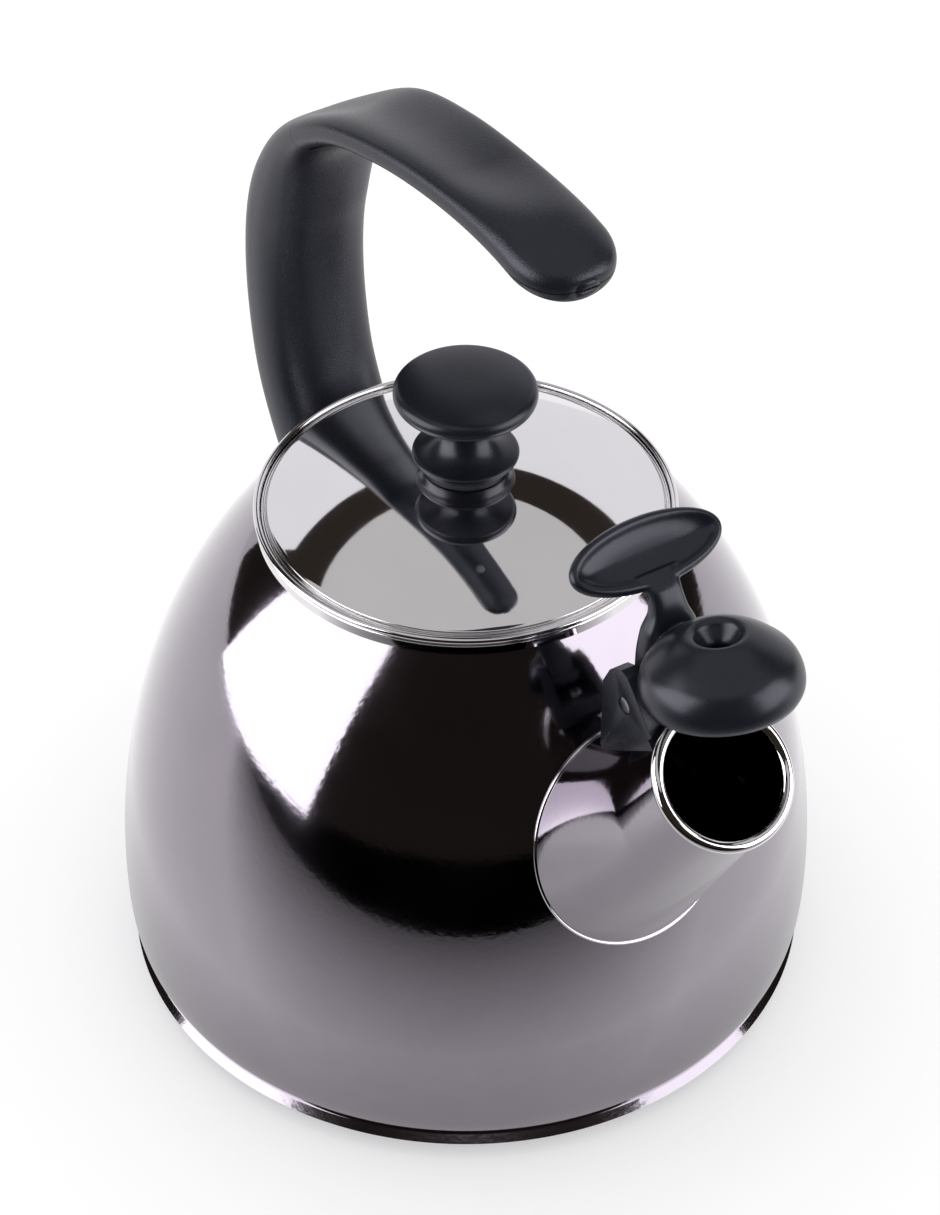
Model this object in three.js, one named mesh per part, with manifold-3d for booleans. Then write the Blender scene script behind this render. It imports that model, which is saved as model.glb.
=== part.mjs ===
// Stovetop whistling kettle: a drawn steel body with a lift-off lid, a one-post hook handle and a
// flip-up whistle on a short spout. Millimetres, +Z up, spout towards +X, handle post at -X.
// The origin is the centre of the flat face that the kettle stands on.
import * as THREE from "three";
import { mergeVertices } from "three/addons/utils/BufferGeometryUtils.js";
import Module from "manifold-3d";

const wasm = await Module();
wasm.setup();

// ---- driving dimensions ----
const GAP = 0.3; // between pieces that are welded, pressed or screwed face to face

const WALL = 0.9; // body and spout sheet
const BELLY_R = 100;
const BELLY_RISE = 28; // widest ring above the foot
const FOOT_R = 77;
const NECK_R = 57; // lid opening ring, at the outside of its wall
const SHOULDER_SLOPE = THREE.MathUtils.degToRad(47);
const SHELL_H = 150; // foot to the end of the shoulder
const SEAM_T = 0.35; // where the pan meets the shell, on the corner curve

const BASE_T = 2.7; // bonded base disc
const BASE_R = FOOT_R - 3;
const BASE_CHAMFER = 0.8;

const RING_H = 5.5; // opening ring's wall above the shoulder
const RING_BEAD = 0.95;
const RING_WALL = 0.8;
const RING_FOOT = 1.2; // how much thicker the ring is below the lid seat
const LEDGE_DROP = 2.6; // lid seat below the ring's top
const LEDGE_IN = 3.6; // width of the lid seat
const GUIDE_H = 9; // ring's guide below the lid seat

const LID_T = 0.8;
const LID_BEAD = 0.7;
const LID_FLANK = 1.2; // steep step inside the lid's rolled edge
const LID_CROWN = 13.3;
const LID_CLEAR = 0.5; // lid collar to the ring's guide
const COLLAR_H = 8;
const COLLAR_LIP = 4; // collar's turned-in top

const KNOB_R = 19.4;
const KNOB_H = 27.4;
const KNOB_CAP_T = 11.6; // cap with its cone-shaped underside
const KNOB_EDGE = 2.65; // radius of the cap's edge
const KNOB_FLANGE_R = 14.5;
const KNOB_FLANGE_H = 3.8;
const KNOB_NECK_R = 5.9;
const KNOB_FOOT_R = 12;
const KNOB_SCREW_R = 2.4;
const INSERT_R = 3.9;
const INSERT_H = 11;
const INSERT_END = 1.6;
const WASHER_R = 8;
const WASHER_T = 1;

const SPOUT_REACH = 22; // centre of the mouth beyond the widest ring
const MOUTH_RISE = 0.3; // and above the end of the shoulder
const SPOUT_ANGLE = THREE.MathUtils.degToRad(49.7);
const MOUTH_R = 17.9; // centre line of the rolled rim
const RIM_R = 1.7;
const SPOUT_SPREAD = 0.18; // of the lower side, per mm behind the mouth
const SPOUT_THROAT = 25; // mouth to where the upper side starts to flare
const SPOUT_FLARE = 0.05;
const SPOUT_HOLE = 5; // the body's hole inside the spout's foot
const SPOUT_L = 90; // reaches inside the body before it is cut to fit

const CAP_R = MOUTH_R + 3.3;
const CAP_H = 19.9; // cap's top above the mouth
const CAP_WALL = 1.8;
const CAP_CLEAR = 0.2; // cap's edge above the rim, beyond the gap
const VENT_R = 6.4; // funnel in the cap's top
const VENT_DEPTH = 5;
const BORE_R = 3; // hole at the funnel's bottom
const PLUG_R = MOUTH_R - 4.5; // whistle's plug
const PLUG_SINK = 1.2; // how far it reaches into the mouth
const BASE_SEAT_R = CAP_R - CAP_WALL - 2.2; // whistle base inside the cap
const BASE_T_IN = 2.6; // whistle base above the cap's edge
const BASE_CLEAR = 0.2;
const SEAT_ROOM = 9;
const DISC_R = PLUG_R - 1.6;
const DISC_T = 0.5;
const DISC_HOLE_R = 1.8;
const DISC_LEDGE = 1.2;
const LEDGE_T = 1.4;

const PIN_BACK = CAP_R + 5.2; // pivot pin behind the spout's axis
const PIN_DROP = 8.8; // and below the mouth
const PIN_R = 1.5;
const PIN_HEAD_R = 2.3;
const PIN_HEAD_T = 0.8;
const PIN_SINK = 1.2; // depth of the heads' recesses
const PIN_CLEAR = 0.3;
const BARREL_R = 4.2;
const BRACKET_W = 26;
const ARM_W = 17; // whistle lever between the bracket's ears
const EAR_CLEAR = 0.4;
const FLOOR_T = 6; // bracket's floor between the ears
const FLOOR_STEP = 3.5; // its front is lower, where the barrel turns
const SADDLE_FRONT = 13; // and that part ends this far behind the mouth
const RIM_ROOM = 4;
const SADDLE_SCREW = 21; // behind the mouth
const SADDLE_SCREW_R = 1.5;
const SADDLE_HEAD_R = 2.8;
const SADDLE_HEAD_T = 1.6;
const BOSS_R = 3.4;
const BOSS_H = 3.2;
const BOSS_ROOT = -10; // inside the tube, before it is cut to fit
const OPEN_ANGLE = THREE.MathUtils.degToRad(52);

const PADDLE_W = 22.5; // half width and half height of the thumb paddle
const PADDLE_H = 9.4;
const PADDLE_T = 4.2;
const PADDLE_DISH = 2.6;
const PADDLE_TILT = THREE.MathUtils.degToRad(-42);
const PADDLE_BEHIND = 3.8; // the pin
const PADDLE_RISE = 9.5; // above the cap's top

const POST_W = 17; // half widths and half depths of the handle
const POST_D = 10.6; // outer side
const POST_IN = 12.2; // side towards the lid
const GRIP_W = 14.2;
const GRIP_D = 7.2;
const GRIP_IN = 5.8;
const DISH = 4.2; // depth of the hollow for the palm
const SQUARENESS = 0.78; // 1 is an ellipse, less is squarer
const BEND = [0.36, 0.54]; // shares of the handle's path: where the post turns into the grip
const NARROWING = [0.48, 0.88];
const COVER_FROM = 0.53;
const TIP_L = 0.055;
const CORE_W = 16; // steel strap inside the handle
const CORE_T = 2.5;
const CORE_FROM = 0.075;
const CORE_TO = 0.8;
const CHANNEL_FROM = 0.02;
const EAR_FROM = 0.03; // bracket's ear, against the strap
const EAR_TO = 0.19;
const PLATE_T = 2.2; // bracket's foot plate, on the shoulder
const PLATE_W = 24;
const PLATE_L = 15;
const PLATE_TILT = THREE.MathUtils.degToRad(34); // its normal above level
const HANDLE_SCREW_R = 2.4;
const SCREW_HEAD_R = 4.4;
const SCREW_HEAD_T = 2.6;
const SCREW_SINK = 4.5; // depth of the head's pocket
const SCREW_U = 0.155;
const GRIP_SCREW_R = 1.6;
const GRIP_SCREW_TOP = 1.5; // above the handle's path
const GRIP_SCREWS = [0.66, 0.85];
const GRIP_HEAD_R = 3.1;
const GRIP_HEAD_T = 1.3;
const GRIP_SEAT = 5.4; // below the handle's path

// Segments of the round pieces, and rings along the handle and round its tip.
const BODY_SEGMENTS = 40;
const SPOUT_SEGMENTS = 28;
const CAP_SEGMENTS = 28;
const KNOB_SEGMENTS = 24;
const HANDLE_RINGS = 22;
const TIP_RINGS = 5;

// ---- places that follow from them ----
const FOOT_Z = BASE_T + GAP;
const NECK_Z = FOOT_Z + SHELL_H;
const RING_TOP = NECK_Z + RING_H;
const LEDGE_Z = RING_TOP - LEDGE_DROP;
const GUIDE_R = NECK_R - RING_WALL - LEDGE_IN; // inside of the ring's guide
const COLLAR_R = GUIDE_R - LID_CLEAR;
const LID_EDGE_R = NECK_R - RING_WALL - GAP; // outside of the lid's rolled edge
const LID_EDGE_Z = LEDGE_Z + GAP + LID_BEAD;
const DOME_R = LID_EDGE_R - 2 * LID_BEAD - GAP;
const DOME_Z = LID_EDGE_Z + LID_FLANK;
const LID_TOP = DOME_Z + LID_CROWN;
const KNOB_Z = LID_TOP + GAP;
const MOUTH = new THREE.Vector3(BELLY_R + SPOUT_REACH, 0, NECK_Z + MOUTH_RISE);
const SPOUT_TURN = Math.PI / 2 - SPOUT_ANGLE; // about +Y, from +Z to the spout's axis
const CAP_LOW = RIM_R + GAP + CAP_CLEAR; // cap's lower edge above the mouth

// ---- helpers ----
const root = new THREE.Group();
const smooth = THREE.MathUtils.smoothstep;
const V2 = (x, y) => new THREE.Vector2(x, y);
const V3 = (x, y, z) => new THREE.Vector3(x, y, z);

function solid(geometry) {
  const g = geometry.clone();
  g.deleteAttribute("normal");
  g.deleteAttribute("uv");
  const merged = mergeVertices(g, 1e-4);
  return new wasm.Manifold(
    new wasm.Mesh({
      numProp: 3,
      vertProperties: new Float32Array(merged.attributes.position.array),
      triVerts: new Uint32Array(merged.index.array),
    }),
  );
}

function geometryOf(manifold) {
  const mesh = manifold.getMesh();
  const g = new THREE.BufferGeometry();
  g.setAttribute("position", new THREE.BufferAttribute(mesh.vertProperties, 3));
  g.setIndex(new THREE.BufferAttribute(mesh.triVerts, 1));
  g.computeVertexNormals();
  return g;
}

const finishes = {};
function finish(name, color, roughness, metalness) {
  finishes[name] = new THREE.MeshStandardMaterial({ name, color, roughness, metalness });
}
finish("gunmetal", 0x5b5352, 0.12, 1);
finish("polished_steel", 0xd8d8da, 0.06, 1);
finish("satin_steel", 0xb4b4b6, 0.35, 1);
finish("aluminium", 0xa9abad, 0.45, 1);
finish("brass", 0xb59a4c, 0.35, 1);
finish("black_nylon", 0x26272b, 0.5, 0);

function piece(name, shape, material, parent = root) {
  const mesh = new THREE.Mesh(shape.getMesh ? geometryOf(shape) : shape, finishes[material]);
  mesh.name = name;
  parent.add(mesh);
  return mesh;
}

function points2(curve, steps) {
  return curve.getPoints(steps).map((p) => [p.x, p.y]);
}

// A profile of [radius, height] points turned about Z.
function turned(points, segments) {
  const g = new THREE.LatheGeometry(points.map(([r, h]) => V2(r, h)), segments);
  return g.rotateX(Math.PI / 2);
}

function rod(radius, length, segments = 20) {
  return new THREE.CylinderGeometry(radius, radius, length, segments).rotateX(Math.PI / 2);
}

// A closed outline of [x, z] points, given its width across Y.
function slab(points, width) {
  const shape = new THREE.Shape(points.map(([x, z]) => V2(x, z)));
  const g = new THREE.ExtrudeGeometry(shape, { depth: width, bevelEnabled: false });
  return g.rotateX(Math.PI / 2).translate(0, width / 2, 0);
}

// Closed rings of equal length joined in order, with a fan over each end.
function loft(rings) {
  const n = rings[0].length;
  const points = rings.flat();
  const faces = [];
  for (let i = 0; i + 1 < rings.length; i++) {
    for (let j = 0; j < n; j++) {
      const a = i * n + j;
      const b = i * n + ((j + 1) % n);
      faces.push(a, b, a + n, b, b + n, a + n);
    }
  }
  for (const [ring, start, turn] of [[rings[0], 0, 1], [rings.at(-1), points.length - n, 0]]) {
    const middle = ring.reduce((sum, p) => sum.add(p), V3(0, 0, 0)).divideScalar(n);
    const centre = points.push(middle) - 1;
    for (let j = 0; j < n; j++) {
      const a = start + j;
      const b = start + ((j + 1) % n);
      faces.push(centre, turn ? b : a, turn ? a : b);
    }
  }
  const g = new THREE.BufferGeometry().setFromPoints(points);
  g.setIndex(faces);
  return g;
}

function arc(cx, cy, r, from, to, steps) {
  return Array.from({ length: steps + 1 }, (_, i) => {
    const a = THREE.MathUtils.degToRad(from + ((to - from) * i) / steps);
    return [cx + r * Math.cos(a), cy + r * Math.sin(a)];
  });
}

// ---- body ----
// Outer profile from the foot, round the belly and up the shoulder: two cubic curves, both upright
// at the widest ring.
const corner = new THREE.CubicBezierCurve(
  V2(FOOT_R, 0),
  V2(FOOT_R + 0.91 * (BELLY_R - FOOT_R), 0),
  V2(BELLY_R, 0.21 * BELLY_RISE),
  V2(BELLY_R, BELLY_RISE),
);
const SHOULDER_PULL = 0.224 * SHELL_H;
const side = new THREE.CubicBezierCurve(
  V2(BELLY_R, BELLY_RISE),
  V2(BELLY_R, BELLY_RISE + 0.45 * (SHELL_H - BELLY_RISE)),
  V2(
    NECK_R + SHOULDER_PULL * Math.cos(SHOULDER_SLOPE),
    SHELL_H - SHOULDER_PULL * Math.sin(SHOULDER_SLOPE),
  ),
  V2(NECK_R, SHELL_H),
);

// Points of the outer profile, moved out along the curve's normal by grow.
function profile(curve, from, to, steps, grow = 0) {
  return Array.from({ length: steps + 1 }, (_, i) => {
    const t = from + ((to - from) * i) / steps;
    const p = curve.getPoint(t);
    const d = curve.getTangent(t);
    return [p.x + grow * d.y, FOOT_Z + p.y - grow * d.x];
  });
}

// Everything inside the body's outer surface, grown by a gap: what rests on it is cut with this.
function bodyEnvelope(grow) {
  return solid(turned([
    [0, FOOT_Z - grow],
    ...profile(corner, 0, 1, 4, grow),
    ...profile(side, 0, 1, 10, grow).slice(1),
    [0, NECK_Z + grow],
  ], BODY_SEGMENTS));
}

// Section of the spout's outside at a distance behind the mouth: its lower side spreads evenly and
// its upper side stays narrow as far as the throat, so the round section shifts as it grows.
function spoutSection(back) {
  const lower = MOUTH_R + SPOUT_SPREAD * back;
  const upper = MOUTH_R + SPOUT_FLARE * Math.max(0, back - SPOUT_THROAT) ** 1.5;
  return { r: (lower + upper) / 2, shift: (lower - upper) / 2, upper };
}

// Turns geometry from the spout's own frame, with its mouth at the origin, into the kettle's.
function onSpout(g) {
  return g.rotateY(SPOUT_TURN).translate(MOUTH.x, MOUTH.y, MOUTH.z);
}

// The spout as a plug in its own frame, grown by a gap, from its rim to inside the body.
function spoutPlug(grow, from = RIM_R + GAP, to = SPOUT_L) {
  const steps = 9;
  const rings = Array.from({ length: steps + 1 }, (_, i) => {
    const back = to + ((from - to) * i) / steps;
    const { r, shift } = spoutSection(Math.max(back, 0));
    return Array.from({ length: SPOUT_SEGMENTS }, (_, j) => {
      const a = (2 * Math.PI * j) / SPOUT_SEGMENTS;
      return V3(shift + (r + grow) * Math.cos(a), (r + grow) * Math.sin(a), -back);
    });
  });
  return loft(rings);
}

function bodyShell() {
  const outer = [...profile(corner, SEAM_T, 1, 3), ...profile(side, 0, 1, 10).slice(1)];
  const inner = [
    ...profile(side, 1, 0, 10, -WALL).slice(0, -1),
    ...profile(corner, 1, SEAM_T, 3, -WALL),
  ];
  const shell = solid(turned([...outer, ...inner, outer[0]], BODY_SEGMENTS));
  return shell.subtract(solid(onSpout(spoutPlug(-SPOUT_HOLE))));
}

// Bottom of the body, with a rim that steps in and runs up inside the shell.
function basePan() {
  const lap = WALL + 3 * GAP;
  const [edge, step, end] = [SEAM_T - 0.05, SEAM_T + 0.01, SEAM_T + 0.15];
  const outer = [...profile(corner, 0, edge, 3), ...profile(corner, step, end, 2, -lap)];
  const inner = [
    ...profile(corner, end, step, 2, -lap - WALL),
    ...profile(corner, edge - 0.06, 0, 3, -WALL),
  ];
  const points = [[0, FOOT_Z], ...outer, ...inner, [0, FOOT_Z + WALL]];
  return solid(turned(points, BODY_SEGMENTS));
}

function basePlate() {
  return solid(turned([
    [0, 0],
    [BASE_R - BASE_CHAMFER, 0],
    [BASE_R, BASE_CHAMFER],
    [BASE_R, BASE_T],
    [0, BASE_T],
  ], BODY_SEGMENTS));
}

// Wall with a rolled bead on top, a seat for the lid's edge and a guide for its collar.
function openingRing() {
  const wallIn = NECK_R - RING_WALL;
  const foot = NECK_Z + GAP;
  const bead = arc(NECK_R - 0.05, RING_TOP - RING_BEAD, RING_BEAD, -60, 180, 4);
  return solid(turned([
    [NECK_R, foot],
    ...bead,
    [wallIn, LEDGE_Z],
    [GUIDE_R, LEDGE_Z],
    [GUIDE_R, LEDGE_Z - GUIDE_H],
    [GUIDE_R + RING_WALL, LEDGE_Z - GUIDE_H],
    [GUIDE_R + RING_WALL, LEDGE_Z - RING_WALL],
    [wallIn - RING_FOOT, LEDGE_Z - RING_WALL],
    [wallIn - RING_FOOT, foot],
    [NECK_R, foot],
  ], BODY_SEGMENTS));
}

piece("body_shell", bodyShell(), "gunmetal");
piece("base_pan", basePan(), "gunmetal");
piece("base_plate", basePlate(), "aluminium");
piece("opening_ring", openingRing(), "polished_steel");

// ---- spout ----
function spoutTube() {
  const outside = solid(onSpout(spoutPlug(0)));
  const bore = solid(onSpout(spoutPlug(-WALL, -1, SPOUT_L + 1)));
  return outside.subtract(bore).subtract(bodyEnvelope(GAP));
}

function spoutRim() {
  const ring = arc(MOUTH_R, 0, RIM_R, 0, 360, 8);
  return onSpout(turned(ring, SPOUT_SEGMENTS));
}

piece("spout_tube", spoutTube(), "gunmetal");
piece("spout_rim", solid(spoutRim()), "polished_steel");

// ---- lid ----
const lid = new THREE.Group();
lid.name = "lid";
root.add(lid);

// Height of the lid's top at a radius: a low ball-shaped crown.
function crown(r) {
  const ball = (DOME_R ** 2 + LID_CROWN ** 2) / (2 * LID_CROWN);
  return LID_TOP - ball + Math.sqrt(ball ** 2 - r ** 2);
}

// Dome with a steep step down to a rolled edge, one sheet thick inside.
function lidShell() {
  const hole = KNOB_SCREW_R + GAP;
  const steps = 7;
  const inside = DOME_R - LID_T;
  const radii = Array.from({ length: steps + 1 }, (_, i) => hole + ((DOME_R - hole) * i) / steps);
  const top = radii.map((r) => [r, crown(r)]);
  const under = radii.map((r) => Math.min(r, inside)).map((r) => [r, crown(r) - LID_T]);
  const valley = [(DOME_R + LID_EDGE_R - 2 * LID_BEAD) / 2, LID_EDGE_Z];
  const bead = arc(LID_EDGE_R - LID_BEAD, LID_EDGE_Z, LID_BEAD, 160, -90, 5);
  const foot = [inside, LID_EDGE_Z - LID_BEAD];
  const outline = [...top, valley, ...bead, foot, ...under.reverse(), top[0]];
  return solid(turned(outline.reverse(), BODY_SEGMENTS));
}

// Skirt that hangs in the opening's guide, turned in at its top and welded under the dome.
function lidCollar() {
  const outer = [COLLAR_R - COLLAR_LIP, COLLAR_R - COLLAR_LIP / 2];
  const [lip, bend] = outer.map((r) => [r, crown(r) - LID_T - GAP]);
  const foot = LEDGE_Z - COLLAR_H;
  const shoulder = LEDGE_Z - GAP;
  return solid(turned([
    [COLLAR_R, foot],
    [COLLAR_R, shoulder],
    bend,
    lip,
    [lip[0], lip[1] - LID_T],
    [bend[0] - LID_T, bend[1] - LID_T],
    [COLLAR_R - LID_T, shoulder - LID_T],
    [COLLAR_R - LID_T, foot],
    [COLLAR_R, foot],
  ], BODY_SEGMENTS));
}

// Mushroom knob: low foot, thin flange, hollow-sided neck and a flat cap with a rounded edge.
function knobOutline() {
  const flangeZ = KNOB_Z + KNOB_FLANGE_H;
  const capZ = KNOB_Z + KNOB_H;
  const neckZ = capZ - KNOB_CAP_T;
  const round = arc(KNOB_R - KNOB_EDGE, capZ - 1.2 - KNOB_EDGE, KNOB_EDGE, -55, 70, 4);
  const flare = new THREE.CubicBezierCurve(
    V2(KNOB_FLANGE_R, flangeZ + 0.9),
    V2(KNOB_FLANGE_R - 5.5, flangeZ + 2.2),
    V2(KNOB_NECK_R, flangeZ + 5.5),
    V2(KNOB_NECK_R, neckZ - 1.2),
  );
  const under = new THREE.CubicBezierCurve(
    V2(KNOB_NECK_R, neckZ),
    V2(KNOB_NECK_R + 1, neckZ + 3),
    V2(KNOB_R - 7, capZ - 7.4),
    V2(KNOB_R - 1.6, capZ - 6.4),
  );
  const top = new THREE.CubicBezierCurve(
    V2(KNOB_R - KNOB_EDGE, capZ - 1.2),
    V2(KNOB_R - 7, capZ - 0.2),
    V2(KNOB_R / 3, capZ),
    V2(0, capZ),
  );
  return [
    [KNOB_FOOT_R, crown(KNOB_FOOT_R) + GAP],
    [KNOB_FOOT_R + 1, flangeZ - 1.6],
    [KNOB_FLANGE_R - 0.5, flangeZ - 0.7],
    [KNOB_FLANGE_R, flangeZ],
    ...points2(flare, 4),
    ...points2(under, 3),
    ...round,
    ...points2(top, 3),
  ];
}

function lidKnob() {
  const knob = solid(turned([[0, KNOB_Z], ...knobOutline()], KNOB_SEGMENTS));
  const below = 2;
  const depth = below + INSERT_H + GAP;
  const socket = rod(INSERT_R + GAP, depth).translate(0, 0, KNOB_Z - below + depth / 2);
  return knob.subtract(solid(socket));
}

// Threaded blind insert pressed into the knob.
function knobInsert() {
  const low = KNOB_Z + 0.2;
  const high = KNOB_Z + INSERT_H;
  const bore = KNOB_SCREW_R + GAP;
  return solid(turned([
    [bore, low],
    [INSERT_R, low],
    [INSERT_R, high],
    [0, high],
    [0, high - INSERT_END],
    [bore, high - INSERT_END],
    [bore, low],
  ], KNOB_SEGMENTS));
}

function knobWasher() {
  const top = crown(WASHER_R) - LID_T - GAP;
  const bore = KNOB_SCREW_R + GAP;
  return solid(turned([
    [bore, top - WASHER_T],
    [WASHER_R, top - WASHER_T],
    [WASHER_R, top],
    [bore, top],
    [bore, top - WASHER_T],
  ], KNOB_SEGMENTS));
}

// Pan head below, shank up into the insert, with a cross recess in the head.
function knobScrew() {
  const head = crown(WASHER_R) - LID_T - GAP - WASHER_T - GAP;
  const headR = 4.6;
  const headH = 2.8;
  const tip = KNOB_Z + INSERT_H - INSERT_END - 0.6;
  const screw = solid(turned([
    [0, head - headH],
    [headR - 1.4, head - headH],
    [headR, head - headH + 1.3],
    [headR, head],
    [KNOB_SCREW_R, head],
    [KNOB_SCREW_R, tip - 1],
    [KNOB_SCREW_R - 1, tip],
    [0, tip],
  ], KNOB_SEGMENTS));
  const slot = [[5.2, 1.1], [1.1, 5.2]].map(([x, y]) =>
    solid(new THREE.BoxGeometry(x, y, 2.6).translate(0, 0, head - headH)));
  return screw.subtract(slot[0]).subtract(slot[1]);
}

piece("lid_shell", lidShell(), "polished_steel", lid);
piece("lid_collar", lidCollar(), "satin_steel", lid);
piece("lid_knob", lidKnob(), "black_nylon", lid);
piece("knob_insert", knobInsert(), "brass", lid);
piece("knob_washer", knobWasher(), "satin_steel", lid);
piece("knob_screw", knobScrew(), "satin_steel", lid);

// ---- handle ----
// Centre line of the hook, from inside the shoulder, up the post and forward over the lid.
const post = (beyond, above) => V3(-NECK_R - beyond, 0, NECK_Z + above);
const grip = (share, above) => V3(share * NECK_R, 0, NECK_Z + above);
const handlePath = new THREE.CatmullRomCurve3([
  post(7, -28),
  post(17.5, -13),
  post(24.7, 2),
  post(28.3, 20),
  post(29, 39),
  post(26.6, 56),
  post(20.5, 72),
  post(9, 88.5),
  grip(-0.807, 102.8),
  grip(-0.351, 110.5),
  grip(0.14, 114),
  grip(0.596, 114),
  grip(0.982, 110.2),
], false, "centripetal");
handlePath.arcLengthDivisions = 400;

// Centre, outward normal, half width and half depths of the handle at u along its path.
function station(u) {
  const at = handlePath.getPointAt(Math.min(u, 1));
  const t = handlePath.getTangentAt(Math.min(u, 1));
  const bend = smooth(u, ...BEND);
  const tip = Math.max(0, (u - 1 + TIP_L) / TIP_L);
  const end = Math.sqrt(Math.max(0, 1 - tip ** 2));
  const nose = smooth(u, 0.8, 0.97);
  return {
    at,
    out: V3(-t.z, 0, t.x),
    w: THREE.MathUtils.lerp(POST_W, GRIP_W, smooth(u, ...NARROWING)) * (0.25 + 0.75 * end),
    up: THREE.MathUtils.lerp(POST_D, GRIP_D, bend) * (0.45 + 0.55 * end),
    down: (THREE.MathUtils.lerp(POST_IN, GRIP_IN, bend) + 0.8 * nose) * (0.35 + 0.65 * end),
    roundness: THREE.MathUtils.lerp(SQUARENESS, 1, bend),
    dish: DISH * smooth(u, 0.44, 0.58) * (1 - smooth(u, 0.8, 0.93)),
  };
}

// Rounded-square section with a hollow in its upper face where the palm lies.
function handleRing(u, count = 18) {
  const s = station(u);
  return Array.from({ length: count }, (_, i) => {
    const a = (2 * Math.PI * i) / count;
    const power = Math.sin(a) < 0 ? s.roundness : SQUARENESS;
    const square = (v) => Math.sign(v) * Math.abs(v) ** power;
    const y = s.w * square(Math.cos(a));
    const high = square(Math.sin(a));
    const hollow = high > 0 ? s.dish * (1 - (y / s.w) ** 2) ** 1.5 : 0;
    const v = high * (high > 0 ? s.up : s.down) - hollow;
    return s.at.clone().addScaledVector(s.out, v).setY(y);
  });
}

// Outline between two offsets from the handle's path, as [x, z] points.
function band(from, to, low, high, steps) {
  const edge = (offset) => Array.from({ length: steps + 1 }, (_, i) => {
    const u = from + ((to - from) * i) / steps;
    const s = station(u);
    const p = s.at.clone().addScaledVector(s.out, offset(u));
    return [p.x, p.z];
  });
  return [...edge(low), ...edge(high).reverse()];
}

// Seam between the grip's two mouldings, as an offset from the path.
function seam(u) {
  return -3.6 + 4.4 * smooth(u, 0.86, 1);
}

const same = (v) => () => v;

const hook = loft(
  Array.from({ length: HANDLE_RINGS + TIP_RINGS + 1 }, (_, i) => {
    if (i <= HANDLE_RINGS) return handleRing(((1 - TIP_L) * i) / HANDLE_RINGS);
    const turn = (Math.PI / 2) * ((i - HANDLE_RINGS) / TIP_RINGS);
    return handleRing(1 - TIP_L * (1 - Math.sin(turn)));
  }),
);

// Room for the strap and, beside its lower end, the bracket's ear.
function coreChannel() {
  const half = CORE_T / 2 + GAP;
  const width = CORE_W + 2 * GAP;
  const to = CORE_TO + 0.012;
  const strap = slab(band(CHANNEL_FROM, to, same(-half), same(half), 24), width);
  const beside = same(-half - CORE_T - GAP);
  const ear = slab(band(CHANNEL_FROM, EAR_TO + 0.01, beside, same(half), 6), width);
  return solid(strap).add(solid(ear));
}

// The screw's axis crosses the post, through the strap and the bracket's ear.
function acrossPost(u, g) {
  const s = station(u);
  const turn = new THREE.Quaternion().setFromUnitVectors(V3(0, 0, 1), s.out);
  return solid(g.applyQuaternion(turn).translate(s.at.x, s.at.y, s.at.z));
}

function screwPocket(grow) {
  const room = 14;
  const shank = rod(HANDLE_SCREW_R + grow, 2 * POST_D).translate(0, 0, POST_D / 2 - 2);
  const head = rod(SCREW_HEAD_R + grow, room);
  head.translate(0, 0, POST_D - SCREW_SINK + room / 2 - grow);
  return acrossPost(SCREW_U, shank).add(acrossPost(SCREW_U, head));
}

function gripPocket(u, grow) {
  const room = 12;
  const shank = rod(GRIP_SCREW_R + grow, 10, 16).translate(0, 0, GRIP_SCREW_TOP + 0.6 - 5);
  const head = rod(GRIP_HEAD_R + grow, room, 16).translate(0, 0, -GRIP_SEAT - room / 2 + grow);
  return acrossPost(u, shank).add(acrossPost(u, head));
}

// Lens-shaped thumb relief inside the bend.
function bendPocket() {
  const s = station(0.475);
  const g = new THREE.SphereGeometry(1, 20, 12).scale(7.4, 8, 4.2);
  g.rotateY(-Math.PI / 4);
  const p = s.at.clone().addScaledVector(s.out, -POST_D * 0.86);
  return solid(g.translate(p.x, 0, p.z));
}

// Everything above the seam, from the bend to past the tip, moved back and down by a gap.
function coverSide(gap) {
  const steps = 16;
  const edge = (offset) => Array.from({ length: steps + 1 }, (_, i) => {
    const u = COVER_FROM + ((1 - COVER_FROM) * i) / steps;
    const slip = i === 0 ? -gap : 5 * Number(i === steps);
    const p = station(u).at.addScaledVector(handlePath.getTangentAt(u), slip);
    p.addScaledVector(station(u).out, offset(u));
    return [p.x, p.z];
  });
  return solid(slab([...edge((u) => seam(u) - gap), ...edge(() => 30).reverse()], 60));
}

function handleFrame() {
  const frame = solid(hook)
    .subtract(coverSide(GAP))
    .subtract(bodyEnvelope(GAP))
    .subtract(coreChannel())
    .subtract(bracketPlate(GAP))
    .subtract(screwPocket(GAP))
    .subtract(bendPocket());
  return GRIP_SCREWS.reduce((all, u) => all.subtract(gripPocket(u, GAP)), frame);
}

function gripCover() {
  const cover = solid(hook).intersect(coverSide(0)).subtract(coreChannel());
  return GRIP_SCREWS.reduce((all, u) => all.subtract(gripPocket(u, GAP)), cover);
}

function handleCore() {
  const strap = slab(band(CORE_FROM, CORE_TO, same(-CORE_T / 2), same(CORE_T / 2), 24), CORE_W);
  const holes = screwPocket(GAP);
  const first = gripPocket(GRIP_SCREWS[0], GAP);
  return solid(strap).subtract(holes).subtract(first);
}

// Foot plate that follows the shoulder inside the post.
function bracketPlate(grow) {
  const s = station(0.09);
  const box = new THREE.BoxGeometry(30, PLATE_W + 2 * grow, PLATE_L + 2 * grow);
  box.rotateY(PLATE_TILT).translate(s.at.x, 0, s.at.z);
  return bodyEnvelope(GAP + PLATE_T + grow).intersect(solid(box));
}

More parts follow.
